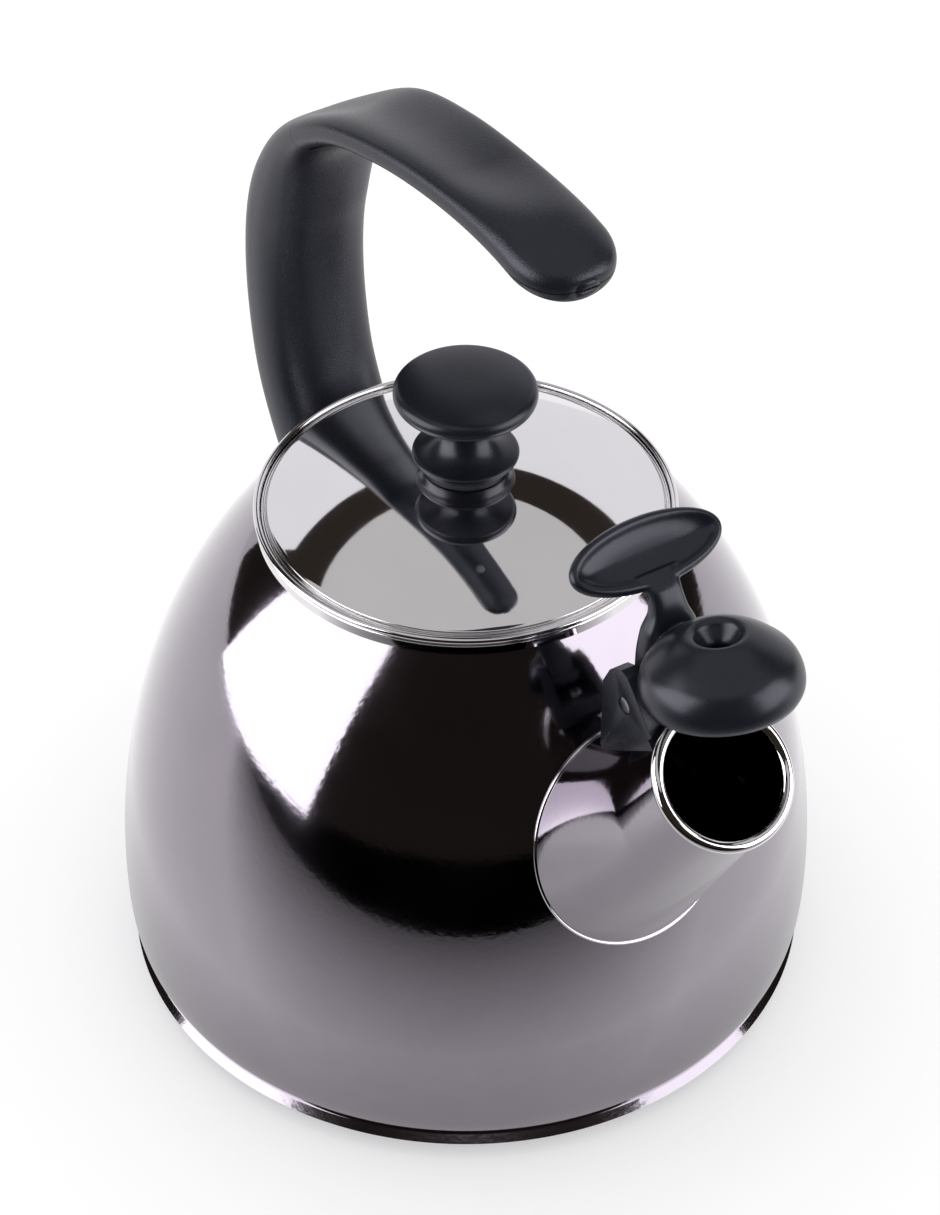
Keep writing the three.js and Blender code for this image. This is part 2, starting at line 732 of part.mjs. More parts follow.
// Foot plate with an ear that stands against the strap.
function handleBracket() {
  const face = -CORE_T / 2 - GAP;
  const ear = slab(band(EAR_FROM, EAR_TO, same(face - CORE_T), same(face), 6), CORE_W);
  return solid(ear)
    .add(bracketPlate(0))
    .subtract(bodyEnvelope(GAP))
    .subtract(screwPocket(GAP));
}

function handleScrew() {
  const seat = POST_D - SCREW_SINK;
  const tip = -7;
  const shank = rod(HANDLE_SCREW_R, seat - tip, 16).translate(0, 0, (seat + tip) / 2);
  const head = rod(SCREW_HEAD_R, SCREW_HEAD_T, 20).translate(0, 0, seat + SCREW_HEAD_T / 2);
  const slot = new THREE.BoxGeometry(1.2, 6, 2).translate(0, 0, seat + SCREW_HEAD_T - 0.2);
  return acrossPost(SCREW_U, shank)
    .add(acrossPost(SCREW_U, head))
    .subtract(acrossPost(SCREW_U, slot));
}

function gripScrew(u) {
  const seat = GRIP_SEAT - 0.2;
  const length = GRIP_SCREW_TOP + seat + 0.7;
  const shank = rod(GRIP_SCREW_R, length, 14).translate(0, 0, GRIP_SCREW_TOP - length / 2);
  const head = rod(GRIP_HEAD_R, GRIP_HEAD_T, 16).translate(0, 0, -seat - GRIP_HEAD_T / 2);
  return acrossPost(u, shank).add(acrossPost(u, head));
}

piece("handle_frame", handleFrame(), "black_nylon");
piece("grip_cover", gripCover(), "black_nylon");
piece("handle_core", handleCore(), "satin_steel");
piece("handle_bracket", handleBracket(), "satin_steel");
piece("handle_screw", handleScrew(), "satin_steel");
GRIP_SCREWS.forEach((u, i) => piece(`grip_screw_${i + 1}`, gripScrew(u), "satin_steel"));

// ---- whistle ----
// Everything here is laid out on the spout's axis with the mouth at the origin, so that +Z points
// out of the mouth and the pivot pin lies at -X.
const PIN = V3(MOUTH.x, 0, MOUTH.z).add(
  V3(-PIN_BACK, 0, -PIN_DROP).applyAxisAngle(V3(0, 1, 0), SPOUT_TURN),
);
const EAR_IN = ARM_W / 2 + EAR_CLEAR;
const FLOOR_X = -(spoutSection(SADDLE_FRONT + 5).upper + FLOOR_T); // floor between the ears
const TUBE_X = -spoutSection(SADDLE_SCREW).upper; // tube's back at the saddle screw
const BOSS_TOP = TUBE_X - GAP - BOSS_H;

// The ears' side view: beside the mouth and along the tube, then round the pin.
function earOutline() {
  const tube = [[-5, -4], [0.7, -31], [2.6, -31]];
  const round = [[8.3, -13.7], [9.8, -7.6], [9.6, -4.6], [8.2, -1.7], [5.6, -0.3]];
  const mouth = [[-1.5, -1.8], [-3.3, -2.8]];
  const behind = (from) => ([x, z]) => [-from - x, z];
  return [...tube.map(behind(MOUTH_R)), ...round.map(behind(PIN_BACK)), ...mouth.map(behind(MOUTH_R))];
}

// A box between two x and two z values, centred across Y.
function block(x0, x1, width, z0, z1) {
  const g = new THREE.BoxGeometry(x1 - x0, width, z1 - z0);
  return solid(g.translate((x0 + x1) / 2, 0, (z0 + z1) / 2));
}

// A rod whose axis is the spout's -X, standing on the spout at a distance along it.
function standing(radius, from, to, segments = 18) {
  const g = rod(radius, from - to, segments).rotateY(Math.PI / 2);
  return solid(g.translate((from + to) / 2, 0, -SADDLE_SCREW));
}

function acrossPin(radius, length, segments = 18) {
  const g = rod(radius, length, segments).rotateX(Math.PI / 2);
  return g.translate(-PIN_BACK, 0, -PIN_DROP);
}

// Two discs on the pin's axis, from an inner face outwards on each side.
function pinEnds(radius, inner, length) {
  const [a, b] = [1, -1].map((hand) =>
    solid(acrossPin(radius, length).translate(0, hand * (inner + length / 2), 0)));
  return a.add(b);
}

function bracket() {
  const ears = solid(slab(earOutline(), BRACKET_W));
  const slot = block(FLOOR_X - 30, FLOOR_X, 2 * EAR_IN, -50, 10);
  const swing = block(FLOOR_X - 1, FLOOR_X + FLOOR_STEP, 2 * EAR_IN, -SADDLE_FRONT, 10);
  const clear = MOUTH_R + RIM_R + 1;
  const rimRoom = turned([[0, -RIM_ROOM], [clear, -RIM_ROOM], [clear, 6], [0, 6]], SPOUT_SEGMENTS);
  return ears
    .subtract(slot)
    .subtract(swing)
    .subtract(solid(rimRoom))
    .subtract(solid(spoutPlug(GAP)))
    .subtract(solid(acrossPin(PIN_R + PIN_CLEAR / 2, BRACKET_W + 4)))
    .subtract(pinEnds(PIN_HEAD_R + PIN_CLEAR / 2, BRACKET_W / 2 - PIN_SINK, 60))
    .subtract(standing(BOSS_R + GAP, BOSS_ROOT, BOSS_TOP - GAP))
    .subtract(standing(SADDLE_SCREW_R + GAP, BOSS_ROOT, FLOOR_X - 1));
}

function spoutBoss() {
  return standing(BOSS_R, BOSS_ROOT, BOSS_TOP)
    .subtract(solid(spoutPlug(GAP)))
    .subtract(standing(SADDLE_SCREW_R + GAP, TUBE_X - 1, BOSS_TOP - 2));
}

function bracketScrew() {
  const seat = FLOOR_X - GAP;
  const top = seat - SADDLE_HEAD_T;
  const slot = block(top - 0.7, top + 0.7, 0.9, -SADDLE_SCREW - 3.5, -SADDLE_SCREW + 3.5);
  return standing(SADDLE_SCREW_R, TUBE_X - 1.4, FLOOR_X - 1)
    .add(standing(SADDLE_HEAD_R, seat, top))
    .subtract(slot);
}

function pivotPin() {
  const heads = pinEnds(PIN_HEAD_R, BRACKET_W / 2 - PIN_SINK, PIN_HEAD_T);
  return solid(acrossPin(PIN_R, BRACKET_W - 1)).add(heads);
}

const bracketFrame = new THREE.Group();
bracketFrame.name = "whistle_mount";
bracketFrame.rotation.y = SPOUT_TURN;
bracketFrame.position.copy(MOUTH);
root.add(bracketFrame);
piece("whistle_bracket", bracket(), "black_nylon", bracketFrame);
piece("spout_boss", spoutBoss(), "satin_steel", bracketFrame);
piece("bracket_screw", bracketScrew(), "satin_steel", bracketFrame);
piece("pivot_pin", pivotPin(), "satin_steel", bracketFrame);

// Domed cap over the mouth with a funnel in its crown: two cubic curves that share a tangent.
function capDome() {
  const side = new THREE.CubicBezierCurve(
    V2(CAP_R - 1.4, CAP_LOW),
    V2(CAP_R + 0.3, CAP_LOW + 2),
    V2(CAP_R - 0.2, CAP_H - 9.7),
    V2(CAP_R - 3.4, CAP_H - 6.6),
  );
  const top = new THREE.CubicBezierCurve(
    V2(CAP_R - 3.4, CAP_H - 6.6),
    V2(CAP_R - 5.9, CAP_H - 4.2),
    V2(CAP_R - 10, CAP_H - 0.6),
    V2(VENT_R + 0.9, CAP_H),
  );
  return solid(turned([
    [0, CAP_LOW],
    ...points2(side, 7),
    ...points2(top, 4).slice(1),
    [VENT_R, CAP_H - 0.3],
    [VENT_R - 0.9, CAP_H - 1.6],
    [BORE_R + 0.6, CAP_H - VENT_DEPTH + 1],
    [BORE_R, CAP_H - VENT_DEPTH],
    [0, CAP_H - VENT_DEPTH],
  ], CAP_SEGMENTS));
}

// The hollow leaves the wall's thickness under the dome and round the funnel.
function capHollow() {
  const edge = CAP_R - CAP_WALL;
  const cone = VENT_R + CAP_WALL;
  const roof = CAP_H - VENT_DEPTH - 1 - CAP_WALL / 2;
  const seat = BASE_SEAT_R + GAP;
  return solid(turned([
    [0, CAP_LOW - 1],
    [seat, CAP_LOW - 1],
    [seat, CAP_LOW + BASE_T_IN + 0.8],
    [edge - 1.2, CAP_LOW + 5],
    [edge - 1.5, CAP_H - 11],
    [edge - 5, CAP_H - 5.6],
    [cone + 1.4, CAP_H - 2.4 - CAP_WALL],
    [cone - 2, roof],
    [0, roof],
  ], CAP_SEGMENTS));
}

// Lever: barrel on the pin, arm up behind the dome and a narrow neck that spreads into the paddle.
const leverStations = [
  { x: -0.2, z: -6.5, w: ARM_W / 2, t: 3.2, lean: 0 },
  { x: 0.8, z: 0, w: ARM_W / 2, t: 3.4, lean: 6 },
  { x: 2.4, z: 6, w: ARM_W / 2 - 0.1, t: 3.8, lean: 8 },
  { x: 3.8, z: 12, w: ARM_W / 2 - 1.1, t: 4, lean: 5 },
  { x: 4.2, z: CAP_H - 2.9, w: 5.2, t: 3, lean: -4 },
  { x: 3.4, z: CAP_H + 1.6, w: 4.7, t: 2.2, lean: -24 },
  { x: -0.6, z: CAP_H + 5.5, w: 6.6, t: 2, lean: -38 },
];

function lever() {
  const count = 16;
  const rings = leverStations.map(({ x, z, w, t, lean }) => {
    const a = THREE.MathUtils.degToRad(lean);
    return Array.from({ length: count }, (_, i) => {
      const phi = (2 * Math.PI * i) / count;
      const square = (v) => Math.sign(v) * Math.abs(v) ** 0.6;
      const d = t * square(Math.sin(phi));
      const y = w * square(Math.cos(phi));
      return V3(x - PIN_BACK - d * Math.cos(a), y, z + d * Math.sin(a));
    });
  });
  return solid(loft(rings));
}

// Oval dish with a rounded rim, hollow towards the cap. Each step is [inset, height].
function paddle() {
  const half = PADDLE_T / 2;
  const middle = PADDLE_H - 0.6;
  const steps = [
    [middle, -half - 0.2],
    [3.2, -half],
    [1.1, -half + 0.5],
    [0.1, -0.5],
    [0, 0.5],
    [0.5, half - 0.5],
    [1.4, half],
    [2.4, half - 0.5],
    [3.4, half - 1.5],
    [middle, half - PADDLE_DISH],
  ];
  const rings = steps.map(([inset, h]) =>
    Array.from({ length: CAP_SEGMENTS }, (_, i) => {
      const phi = (2 * Math.PI * i) / CAP_SEGMENTS;
      const y = (PADDLE_W - inset) * Math.cos(phi);
      const z = (PADDLE_H - inset) * Math.sin(phi);
      return V3(h, y, z);
    }));
  const g = loft(rings).rotateY(PADDLE_TILT);
  return solid(g.translate(-PIN_BACK - PADDLE_BEHIND, 0, CAP_H + PADDLE_RISE));
}

function whistleCap() {
  const seatTop = CAP_LOW - BASE_CLEAR;
  const seat = turned(
    [[0, -SEAT_ROOM], [BASE_SEAT_R, -SEAT_ROOM], [BASE_SEAT_R, seatTop], [0, seatTop]],
    CAP_SEGMENTS,
  );
  return capDome()
    .add(lever())
    .add(paddle())
    .add(solid(acrossPin(BARREL_R, ARM_W)))
    .subtract(capHollow())
    .subtract(solid(seat))
    .subtract(solid(acrossPin(PIN_R + PIN_CLEAR, ARM_W + 4)));
}

// Moulded ring that closes the cap's underside and reaches into the mouth.
function whistleBase() {
  const seat = DISC_R + GAP;
  const ledge = DISC_R - DISC_LEDGE;
  return solid(turned([
    [PLUG_R, -PLUG_SINK],
    [PLUG_R, CAP_LOW + BASE_CLEAR],
    [BASE_SEAT_R, CAP_LOW + BASE_CLEAR],
    [BASE_SEAT_R, CAP_LOW + BASE_T_IN],
    [seat, CAP_LOW + BASE_T_IN],
    [seat, CAP_LOW - BASE_CLEAR],
    [ledge, CAP_LOW - BASE_CLEAR],
    [ledge, CAP_LOW - BASE_CLEAR - LEDGE_T],
    [seat, CAP_LOW - BASE_CLEAR - LEDGE_T],
    [seat, -PLUG_SINK],
    [PLUG_R, -PLUG_SINK],
  ], CAP_SEGMENTS));
}

function disc(z) {
  return solid(turned([
    [DISC_HOLE_R, z],
    [DISC_R, z],
    [DISC_R, z + DISC_T],
    [DISC_HOLE_R, z + DISC_T],
    [DISC_HOLE_R, z],
  ], CAP_SEGMENTS));
}

const whistle = new THREE.Group();
whistle.name = "whistle";
whistle.position.copy(PIN);
whistle.rotation.y = SPOUT_TURN - OPEN_ANGLE;
root.add(whistle);

function onPin(manifold) {
  return manifold.translate([PIN_BACK, 0, PIN_DROP]);
}

piece("whistle_cap", onPin(whistleCap()), "black_nylon", whistle);
piece("whistle_base", onPin(whistleBase()), "black_nylon", whistle);
const upperDisc = CAP_LOW + GAP;
const lowerDisc = CAP_LOW - BASE_CLEAR - LEDGE_T - GAP - DISC_T;
piece("whistle_disc_upper", onPin(disc(upperDisc)), "satin_steel", whistle);
piece("whistle_disc_lower", onPin(disc(lowerDisc)), "satin_steel", whistle);

export default root;
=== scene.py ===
# %% [markdown]
# # A stovetop whistling kettle
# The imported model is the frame: it gives every body, node and joint, in metres. Each visible piece
# is made again here as a smooth surface in the same place, with its own finish.

# %% Load the frame
import bmesh
import bpy
import numpy as np
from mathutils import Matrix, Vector


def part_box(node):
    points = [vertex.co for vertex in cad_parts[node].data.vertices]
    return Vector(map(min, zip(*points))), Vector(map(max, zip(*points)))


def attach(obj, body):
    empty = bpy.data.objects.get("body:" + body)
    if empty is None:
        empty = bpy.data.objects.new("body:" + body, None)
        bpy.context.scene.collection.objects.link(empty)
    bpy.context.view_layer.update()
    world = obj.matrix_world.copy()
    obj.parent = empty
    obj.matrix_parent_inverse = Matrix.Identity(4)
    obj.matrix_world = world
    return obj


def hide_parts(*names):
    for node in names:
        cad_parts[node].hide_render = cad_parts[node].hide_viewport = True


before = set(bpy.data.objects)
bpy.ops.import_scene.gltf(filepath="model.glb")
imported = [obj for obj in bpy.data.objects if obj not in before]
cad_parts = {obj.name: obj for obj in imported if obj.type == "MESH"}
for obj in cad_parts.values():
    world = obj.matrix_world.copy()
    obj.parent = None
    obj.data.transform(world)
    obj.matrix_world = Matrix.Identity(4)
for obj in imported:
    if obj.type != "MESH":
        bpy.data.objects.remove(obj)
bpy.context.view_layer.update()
print("nodes:", len(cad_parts))

# %% [markdown]
# ## Surfaces as arrays
# Sheet-metal and moulded pieces are easiest to describe as a profile and a sweep. A grid of points
# worked out with whole arrays becomes a mesh in one step, and its density is one number. The
# helpers below hold the formulas once: a cubic curve, a curve moved sideways, softened corners, and
# a grid of points closed into a mesh. Lengths are millimetres until the mesh is made.

# %% Curves
MM = 0.001


def cubic(points, t):
    """Cubic curve: its four points weighted by (1-t)^3, 3(1-t)^2 t, 3(1-t) t^2 and t^3."""
    p = np.array(points, float)
    t = np.asarray(t, float)[:, None]
    s = 1 - t
    return s**3 * p[0] + 3 * s**2 * t * p[1] + 3 * s * t**2 * p[2] + t**3 * p[3]


def beside(path, distance):
    """Each point moved by distance along the normal (dz, -dr) of its path."""
    d = np.gradient(path, axis=0)
    d /= np.linalg.norm(d, axis=1)[:, None]
    return path + distance * np.c_[d[:, 1], -d[:, 0]]


def soften(points, radius, steps=4, closed=True):
    """Each corner becomes a quadratic curve between two points that lie radius from it, or half a
    side where the side is short."""
    p = np.array(points, float)
    back, ahead = np.roll(p, 1, 0) - p, np.roll(p, -1, 0) - p
    reach = lambda v: np.minimum(radius / np.maximum(np.linalg.norm(v, axis=1), 1e-9), 0.5)[:, None]
    a, b = p + back * reach(back), p + ahead * reach(ahead)
    t = np.linspace(0, 1, steps + 1)[None, :, None]
    out = (1 - t) ** 2 * a[:, None] + 2 * t * (1 - t) * p[:, None] + t**2 * b[:, None]
    if not closed:
        out[0], out[-1] = p[0], p[-1]
    return out.reshape(-1, p.shape[1])


def arc(centre, radius, start, stop, steps):
    """Points on a circle between two angles in degrees."""
    a = np.radians(np.linspace(start, stop, steps))
    return np.c_[centre[0] + radius * np.cos(a), centre[1] + radius * np.sin(a)]


def smooth(x, low, high):
    """0 below low and 1 above high, with the cubic 3t^2 - 2t^3 between."""
    t = np.clip((x - low) / (high - low), 0, 1)
    return t * t * (3 - 2 * t)


print("a quarter of a cubic curve:", cubic([(0, 0), (0, 1), (1, 2), (2, 2)], [0.25]).round(3))

# %% Grids into meshes
def weave(rows, columns, ring):
    """Corners of each face of a grid whose columns close round. With ring, the last row joins the
    first."""
    i = np.arange(rows if ring else rows - 1)[:, None]
    j = np.arange(columns)[None, :]
    i, j = np.broadcast_arrays(i, j)
    i2, j2 = (i + 1) % rows, (j + 1) % columns
    corners = [i * columns + j, i * columns + j2, i2 * columns + j2, i2 * columns + j]
    return np.stack(corners, -1).reshape(-1, 4)


def volume(points, quads, tris):
    """Six times the enclosed volume: the sum of a . (b x c) over the triangles."""
    t = np.vstack([quads[:, [0, 1, 2]], quads[:, [0, 2, 3]], tris])
    a, b, c = points[t[:, 0]], points[t[:, 1]], points[t[:, 2]]
    return np.einsum("ij,ij->", a, np.cross(b, c))


def mesh_object(name, points, quads, tris, sharp=38):
    """A smooth-shaded object whose faces point outwards. Edges bent more than sharp stay crisp."""
    if volume(points, quads, tris) < 0:
        quads, tris = quads[:, ::-1], tris[:, ::-1]
    mesh = bpy.data.meshes.new(name)
    mesh.vertices.add(len(points))
    mesh.vertices.foreach_set("co", (points * MM).astype(np.float32).ravel())
    sizes = np.r_[np.full(len(quads), 4), np.full(len(tris), 3)]
    loops = np.r_[quads.ravel(), tris.ravel()].astype(np.int32)
    mesh.loops.add(len(loops))
    mesh.loops.foreach_set("vertex_index", loops)
    mesh.polygons.add(len(sizes))
    mesh.polygons.foreach_set("loop_start", np.r_[0, np.cumsum(sizes)[:-1]].astype(np.int32))
    mesh.update(calc_edges=True)
    mesh.validate()
    mesh.shade_smooth()
    mesh.set_sharp_from_angle(angle=np.radians(sharp))
    o = bpy.data.objects.new(name, mesh)
    bpy.context.scene.collection.objects.link(o)
    return o


def loft(grid, ring=False):
    """Rows of points, closed round, joined in order. With ring the last row joins the first, or
    else each end closes on its middle point."""
    tris = np.zeros((0, 3), int)
    if ring:
        n, m = grid.shape[:2]
        return grid.reshape(-1, 3), weave(n, m, True), tris
    ends = [grid[0].mean(0), grid[-1].mean(0)]
    if np.ptp(grid[0], axis=0).max() < 1e-6:
        grid = grid[1:]
    if np.ptp(grid[-1], axis=0).max() < 1e-6:
        grid = grid[:-1]
    n, m = grid.shape[:2]
    j = np.arange(m)
    k = (j + 1) % m
    first = np.c_[np.full(m, n * m), k, j]
    last = np.c_[np.full(m, n * m + 1), (n - 1) * m + j, (n - 1) * m + k]
    return np.vstack([grid.reshape(-1, 3), ends]), weave(n, m, False), np.vstack([first, last])


ROUND = 256


def turned(profile, around=ROUND):
    """A profile of (radius, height) carried round Z: x = r cos a, y = r sin a."""
    p = np.array(profile, float)
    a = np.linspace(0, 2 * np.pi, around, endpoint=False)[None, :]
    r, z = p[:, :1], p[:, 1:]
    grid = np.stack([r * np.cos(a), r * np.sin(a), z + 0 * a], -1)
    return loft(grid, ring=p[0, 0] > 1e-6 or p[-1, 0] > 1e-6)


def joined(*parts):
    """Several meshes as one."""
    points, quads, tris, n = [], [], [], 0
    for p, q, t in parts:
        points.append(p)
        quads.append(q + n)
        tris.append(t + n)
        n += len(p)
    return np.vstack(points), np.vstack(quads), np.vstack(tris)


def moved(part, change):
    """A mesh whose points have gone through change."""
    return change(part[0]), part[1], part[2]


def cut(o, part):
    """The object with a closed mesh taken out of it."""
    tool = mesh_object(o.name + "_tool", *part)
    m = o.modifiers.new("cut", "BOOLEAN")
    m.operation, m.solver, m.object = "DIFFERENCE", "EXACT", tool
    return settled(o, tool)


def settled(o, *tools):
    """Makes the modifiers' result the object's own mesh, and removes the tools."""
    depsgraph = bpy.context.evaluated_depsgraph_get()
    mesh = bpy.data.meshes.new_from_object(o.evaluated_get(depsgraph))
    mesh.name = o.name
    o.modifiers.clear()
    o.data = mesh
    for tool in tools:
        bpy.data.objects.remove(tool)
    mesh.shade_smooth()
    mesh.set_sharp_from_angle(angle=np.radians(38))
    return o


def placed(o, body, slot, material, *nodes):
    """Gives a piece its finish and body, and hides the frame's nodes that it stands for."""
    o.data.materials.clear()
    o.data.materials.append(material)
    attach(o, body)
    if nodes:
        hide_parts(*nodes)
    print(f"{o.name}: {len(o.data.polygons)} faces, on {body}")
    return o


# %% [markdown]
# ## Camera
# A long lens from a metre away, above the kettle and a third of the way round from its side, keeps
# the belly's true outline. The target sits near the middle of the height.

# %% Camera
azimuth, elevation, distance = np.radians(58), np.radians(40.96), 1.0
back = np.array([np.sin(azimuth) * np.cos(elevation), -np.cos(azimuth) * np.cos(elevation),
                 np.sin(elevation)])
right = np.array([np.cos(azimuth), np.sin(azimuth), 0])
front = np.array([np.sin(azimuth), -np.cos(azimuth), 0])
target = 0.00115 * right + np.array([0, 0, 0.11976])

camera = bpy.data.objects.new("camera", bpy.data.cameras.new("camera"))
bpy.context.scene.collection.objects.link(camera)
camera.data.lens, camera.data.sensor_width = 106.2, 36
camera.data.clip_start, camera.data.clip_end = 0.05, 20
camera.location = target + distance * back
camera.rotation_euler = Vector(-back).to_track_quat("-Z", "Y").to_euler()
bpy.context.scene.camera = camera
print("camera at", np.round(target + distance * back, 3))

# %% [markdown]
# ## Floor and light
# Bright metal shows its surroundings, so the room is the look. Soft light comes from everywhere
# for the matt surfaces, while the mirror surfaces see a dark room with a few bright cards: a soft
# box on each side, a low backdrop and a ceiling. Each card is a patch of a large ball round the
# kettle, given by its bearing from the camera's side and its height in degrees, so an edge seen in
# the metal can be set directly. Mirrors also see a floor that fades and ends in front, which makes
# the dark field low on the belly.

# %% Room
CARD_R = 2.4
MIDDLE = np.array([0, 0, 0.1])


def sums(g, kind, *terms):
    """A math node of one kind over its terms, sockets or numbers."""
    n = g.nodes.new("ShaderNodeMath")
    n.operation = kind
    for i, t in enumerate(terms):
        if isinstance(t, (int, float)):
            n.inputs[i].default_value = t
        else:
            g.links.new(t, n.inputs[i])
    return n.outputs[0]


def emitter(name, colour, strength):
    """A material that only glows."""
    m = bpy.data.materials.new(name)
    m.use_nodes = True
    n = m.node_tree.nodes
    n.clear()
    glow, out = n.new("ShaderNodeEmission"), n.new("ShaderNodeOutputMaterial")
    glow.inputs["Color"].default_value = (*colour, 1)
    glow.inputs["Strength"].default_value = strength
    m.node_tree.links.new(glow.outputs[0], out.inputs[0])
    return m


def card(name, bearing, height, strength, colour=(1, 1, 1), lean=0.0, steps=24):
    """Patch of a ball: front cos(b) + right sin(b) turned up by h, for b and h on a grid. The
    bearings lean by lean degrees for each degree of height."""
    h = np.linspace(*height, steps)[:, None]
    b = np.linspace(*bearing, steps)[None, :] + lean * h
    h, b = np.radians(h), np.radians(b)
    level = np.cos(b)[..., None] * front + np.sin(b)[..., None] * right
    way = np.cos(h)[..., None] * level + np.sin(h)[..., None] * np.array([0, 0, 1])
    points = (MIDDLE + CARD_R * way).reshape(-1, 3)
    i, j = np.meshgrid(np.arange(steps - 1), np.arange(steps - 1), indexing="ij")
    a = (i * steps + j).ravel()
    quads = np.c_[a, a + 1, a + steps + 1, a + steps]
    mesh = bpy.data.meshes.new(name)
    mesh.from_pydata(points.tolist(), [], quads.tolist())
    mesh.materials.append(emitter(name, colour, strength))
    o = bpy.data.objects.new(name, mesh)
    bpy.context.scene.collection.objects.link(o)
    o.visible_camera = o.visible_diffuse = o.visible_shadow = False
    return o


card("card_left", (-106, -52), (-13, 42), 3.8, (1, 0.985, 1.0), lean=0.3)
card("card_right", (50, 98), (-6, 42), 3.1, (1, 0.985, 1.0), lean=-0.1)
card("backdrop", (128, 232), (-6, 40), 0.86, (0.97, 0.96, 1.0))
card("ceiling", (0, 360), (52, 89.9), 0.56, (1, 0.975, 0.985), steps=60)

# %% Floor
FADE_FROM, FADE_LENGTH, FLOOR_END = 0.10, 0.15, 0.38


def stage_floor():
    """A pale floor. Mirrors see it shaded under the kettle and fading, then ending, towards the
    camera's side, as the light there is flagged."""
    half = 4.0
    mesh = bpy.data.meshes.new("floor")
    corners = [(-half, -half, 0), (half, -half, 0), (half, half, 0), (-half, half, 0)]
    mesh.from_pydata(corners, [], [(0, 1, 2, 3)])
    o = bpy.data.objects.new("floor", mesh)
    bpy.context.scene.collection.objects.link(o)
    m = bpy.data.materials.new("floor")
    m.use_nodes = True
    nodes, link = m.node_tree.nodes, m.node_tree.links.new
    nodes.clear()
    pale = nodes.new("ShaderNodeBsdfDiffuse")
    pale.inputs["Color"].default_value = (0.72, 0.72, 0.725, 1)
    lift = nodes.new("ShaderNodeEmission")
    lift.inputs["Color"].default_value = (1, 0.995, 1, 1)
    lift.inputs["Strength"].default_value = 0.37
    both = nodes.new("ShaderNodeAddShader")
    link(pale.outputs[0], both.inputs[0])
    link(lift.outputs[0], both.inputs[1])
    place = nodes.new("ShaderNodeTexCoord").outputs["Object"]
    along = nodes.new("ShaderNodeVectorMath")
    along.operation = "DOT_PRODUCT"
    along.inputs[1].default_value = tuple(front)
    link(place, along.inputs[0])
    radius = nodes.new("ShaderNodeVectorMath")
    radius.operation = "LENGTH"
    link(place, radius.inputs[0])

    ahead = along.outputs["Value"]
    tree = m.node_tree
    past = sums(tree, "MULTIPLY", sums(tree, "SUBTRACT", ahead, FADE_FROM), -1 / FADE_LENGTH)
    fade = sums(tree, "EXPONENT", sums(tree, "MINIMUM", past, 0.0))
    shade = nodes.new("ShaderNodeMapRange")
    shade.inputs["From Min"].default_value, shade.inputs["From Max"].default_value = 0.08, 0.15
    shade.inputs["To Min"].default_value, shade.inputs["To Max"].default_value = 0.35, 1.0
    link(radius.outputs["Value"], shade.inputs["Value"])
    lit = sums(tree, "MULTIPLY", fade, sums(tree, "LESS_THAN", ahead, FLOOR_END))
    seen = nodes.new("ShaderNodeEmission")
    seen.inputs["Color"].default_value = (1, 0.985, 1, 1)
    link(sums(tree, "MULTIPLY", lit, shade.outputs[0]), seen.inputs["Strength"])
    path = nodes.new("ShaderNodeLightPath")
    mix = nodes.new("ShaderNodeMixShader")
    link(path.outputs["Is Glossy Ray"], mix.inputs[0])
    link(both.outputs[0], mix.inputs[1])
    link(seen.outputs[0], mix.inputs[2])
    out = nodes.new("ShaderNodeOutputMaterial")
    link(mix.outputs[0], out.inputs[0])
    mesh.materials.append(m)
    return o


stage_floor()
world = bpy.data.worlds.new("room")
bpy.context.scene.world = world
world.use_nodes = True
nodes, link = world.node_tree.nodes, world.node_tree.links.new
nodes.clear()
soft, dark = nodes.new("ShaderNodeBackground"), nodes.new("ShaderNodeBackground")
soft.inputs["Color"].default_value = (1, 1, 1, 1)
dark.inputs["Color"].default_value = (0.026, 0.020, 0.017, 1)
path, mix, out = (nodes.new("ShaderNodeLightPath"), nodes.new("ShaderNodeMixShader"),
                  nodes.new("ShaderNodeOutputWorld"))
link(path.outputs["Is Glossy Ray"], mix.inputs[0])
link(soft.outputs[0], mix.inputs[1])
link(dark.outputs[0], mix.inputs[2])
link(mix.outputs[0], out.inputs[0])
bpy.context.scene.view_settings.view_transform = "Standard"
print("room: 4 cards, a floor and a world")

# %% [markdown]
# ## Finishes
# Three effects are used by several finishes, so each is a node group: the slight waviness of
# polished or lacquered sheet, the fine grain that a mould leaves in nylon, and the rings that a
# lathe tool or a brush leaves round an axis. Each group gives a height or a mask from the piece's
# own Object coordinates, and each material has its own values.

# %% Effect groups
def group(name, inputs, outputs):
    """An empty node group with named float inputs, a vector input and float outputs."""
    g = bpy.data.node_groups.new(name, "ShaderNodeTree")
    g.interface.new_socket("Place", in_out="INPUT", socket_type="NodeSocketVector")
    for label, value in inputs:
        s = g.interface.new_socket(label, in_out="INPUT", socket_type="NodeSocketFloat")
        s.default_value = value
    for label in outputs:
        g.interface.new_socket(label, in_out="OUTPUT", socket_type="NodeSocketFloat")
    return g, g.nodes.new("NodeGroupInput"), g.nodes.new("NodeGroupOutput")


def noise(g, place, scale, detail, roughness=0.5):
    """A noise texture node, with its scale linked where it is a socket."""
    n = g.nodes.new("ShaderNodeTexNoise")
    n.inputs["Detail"].default_value = detail
    n.inputs["Roughness"].default_value = roughness
    g.links.new(place, n.inputs["Vector"])
    if isinstance(scale, (int, float)):
        n.inputs["Scale"].default_value = scale
    else:
        g.links.new(scale, n.inputs["Scale"])
    return n.outputs["Fac"]


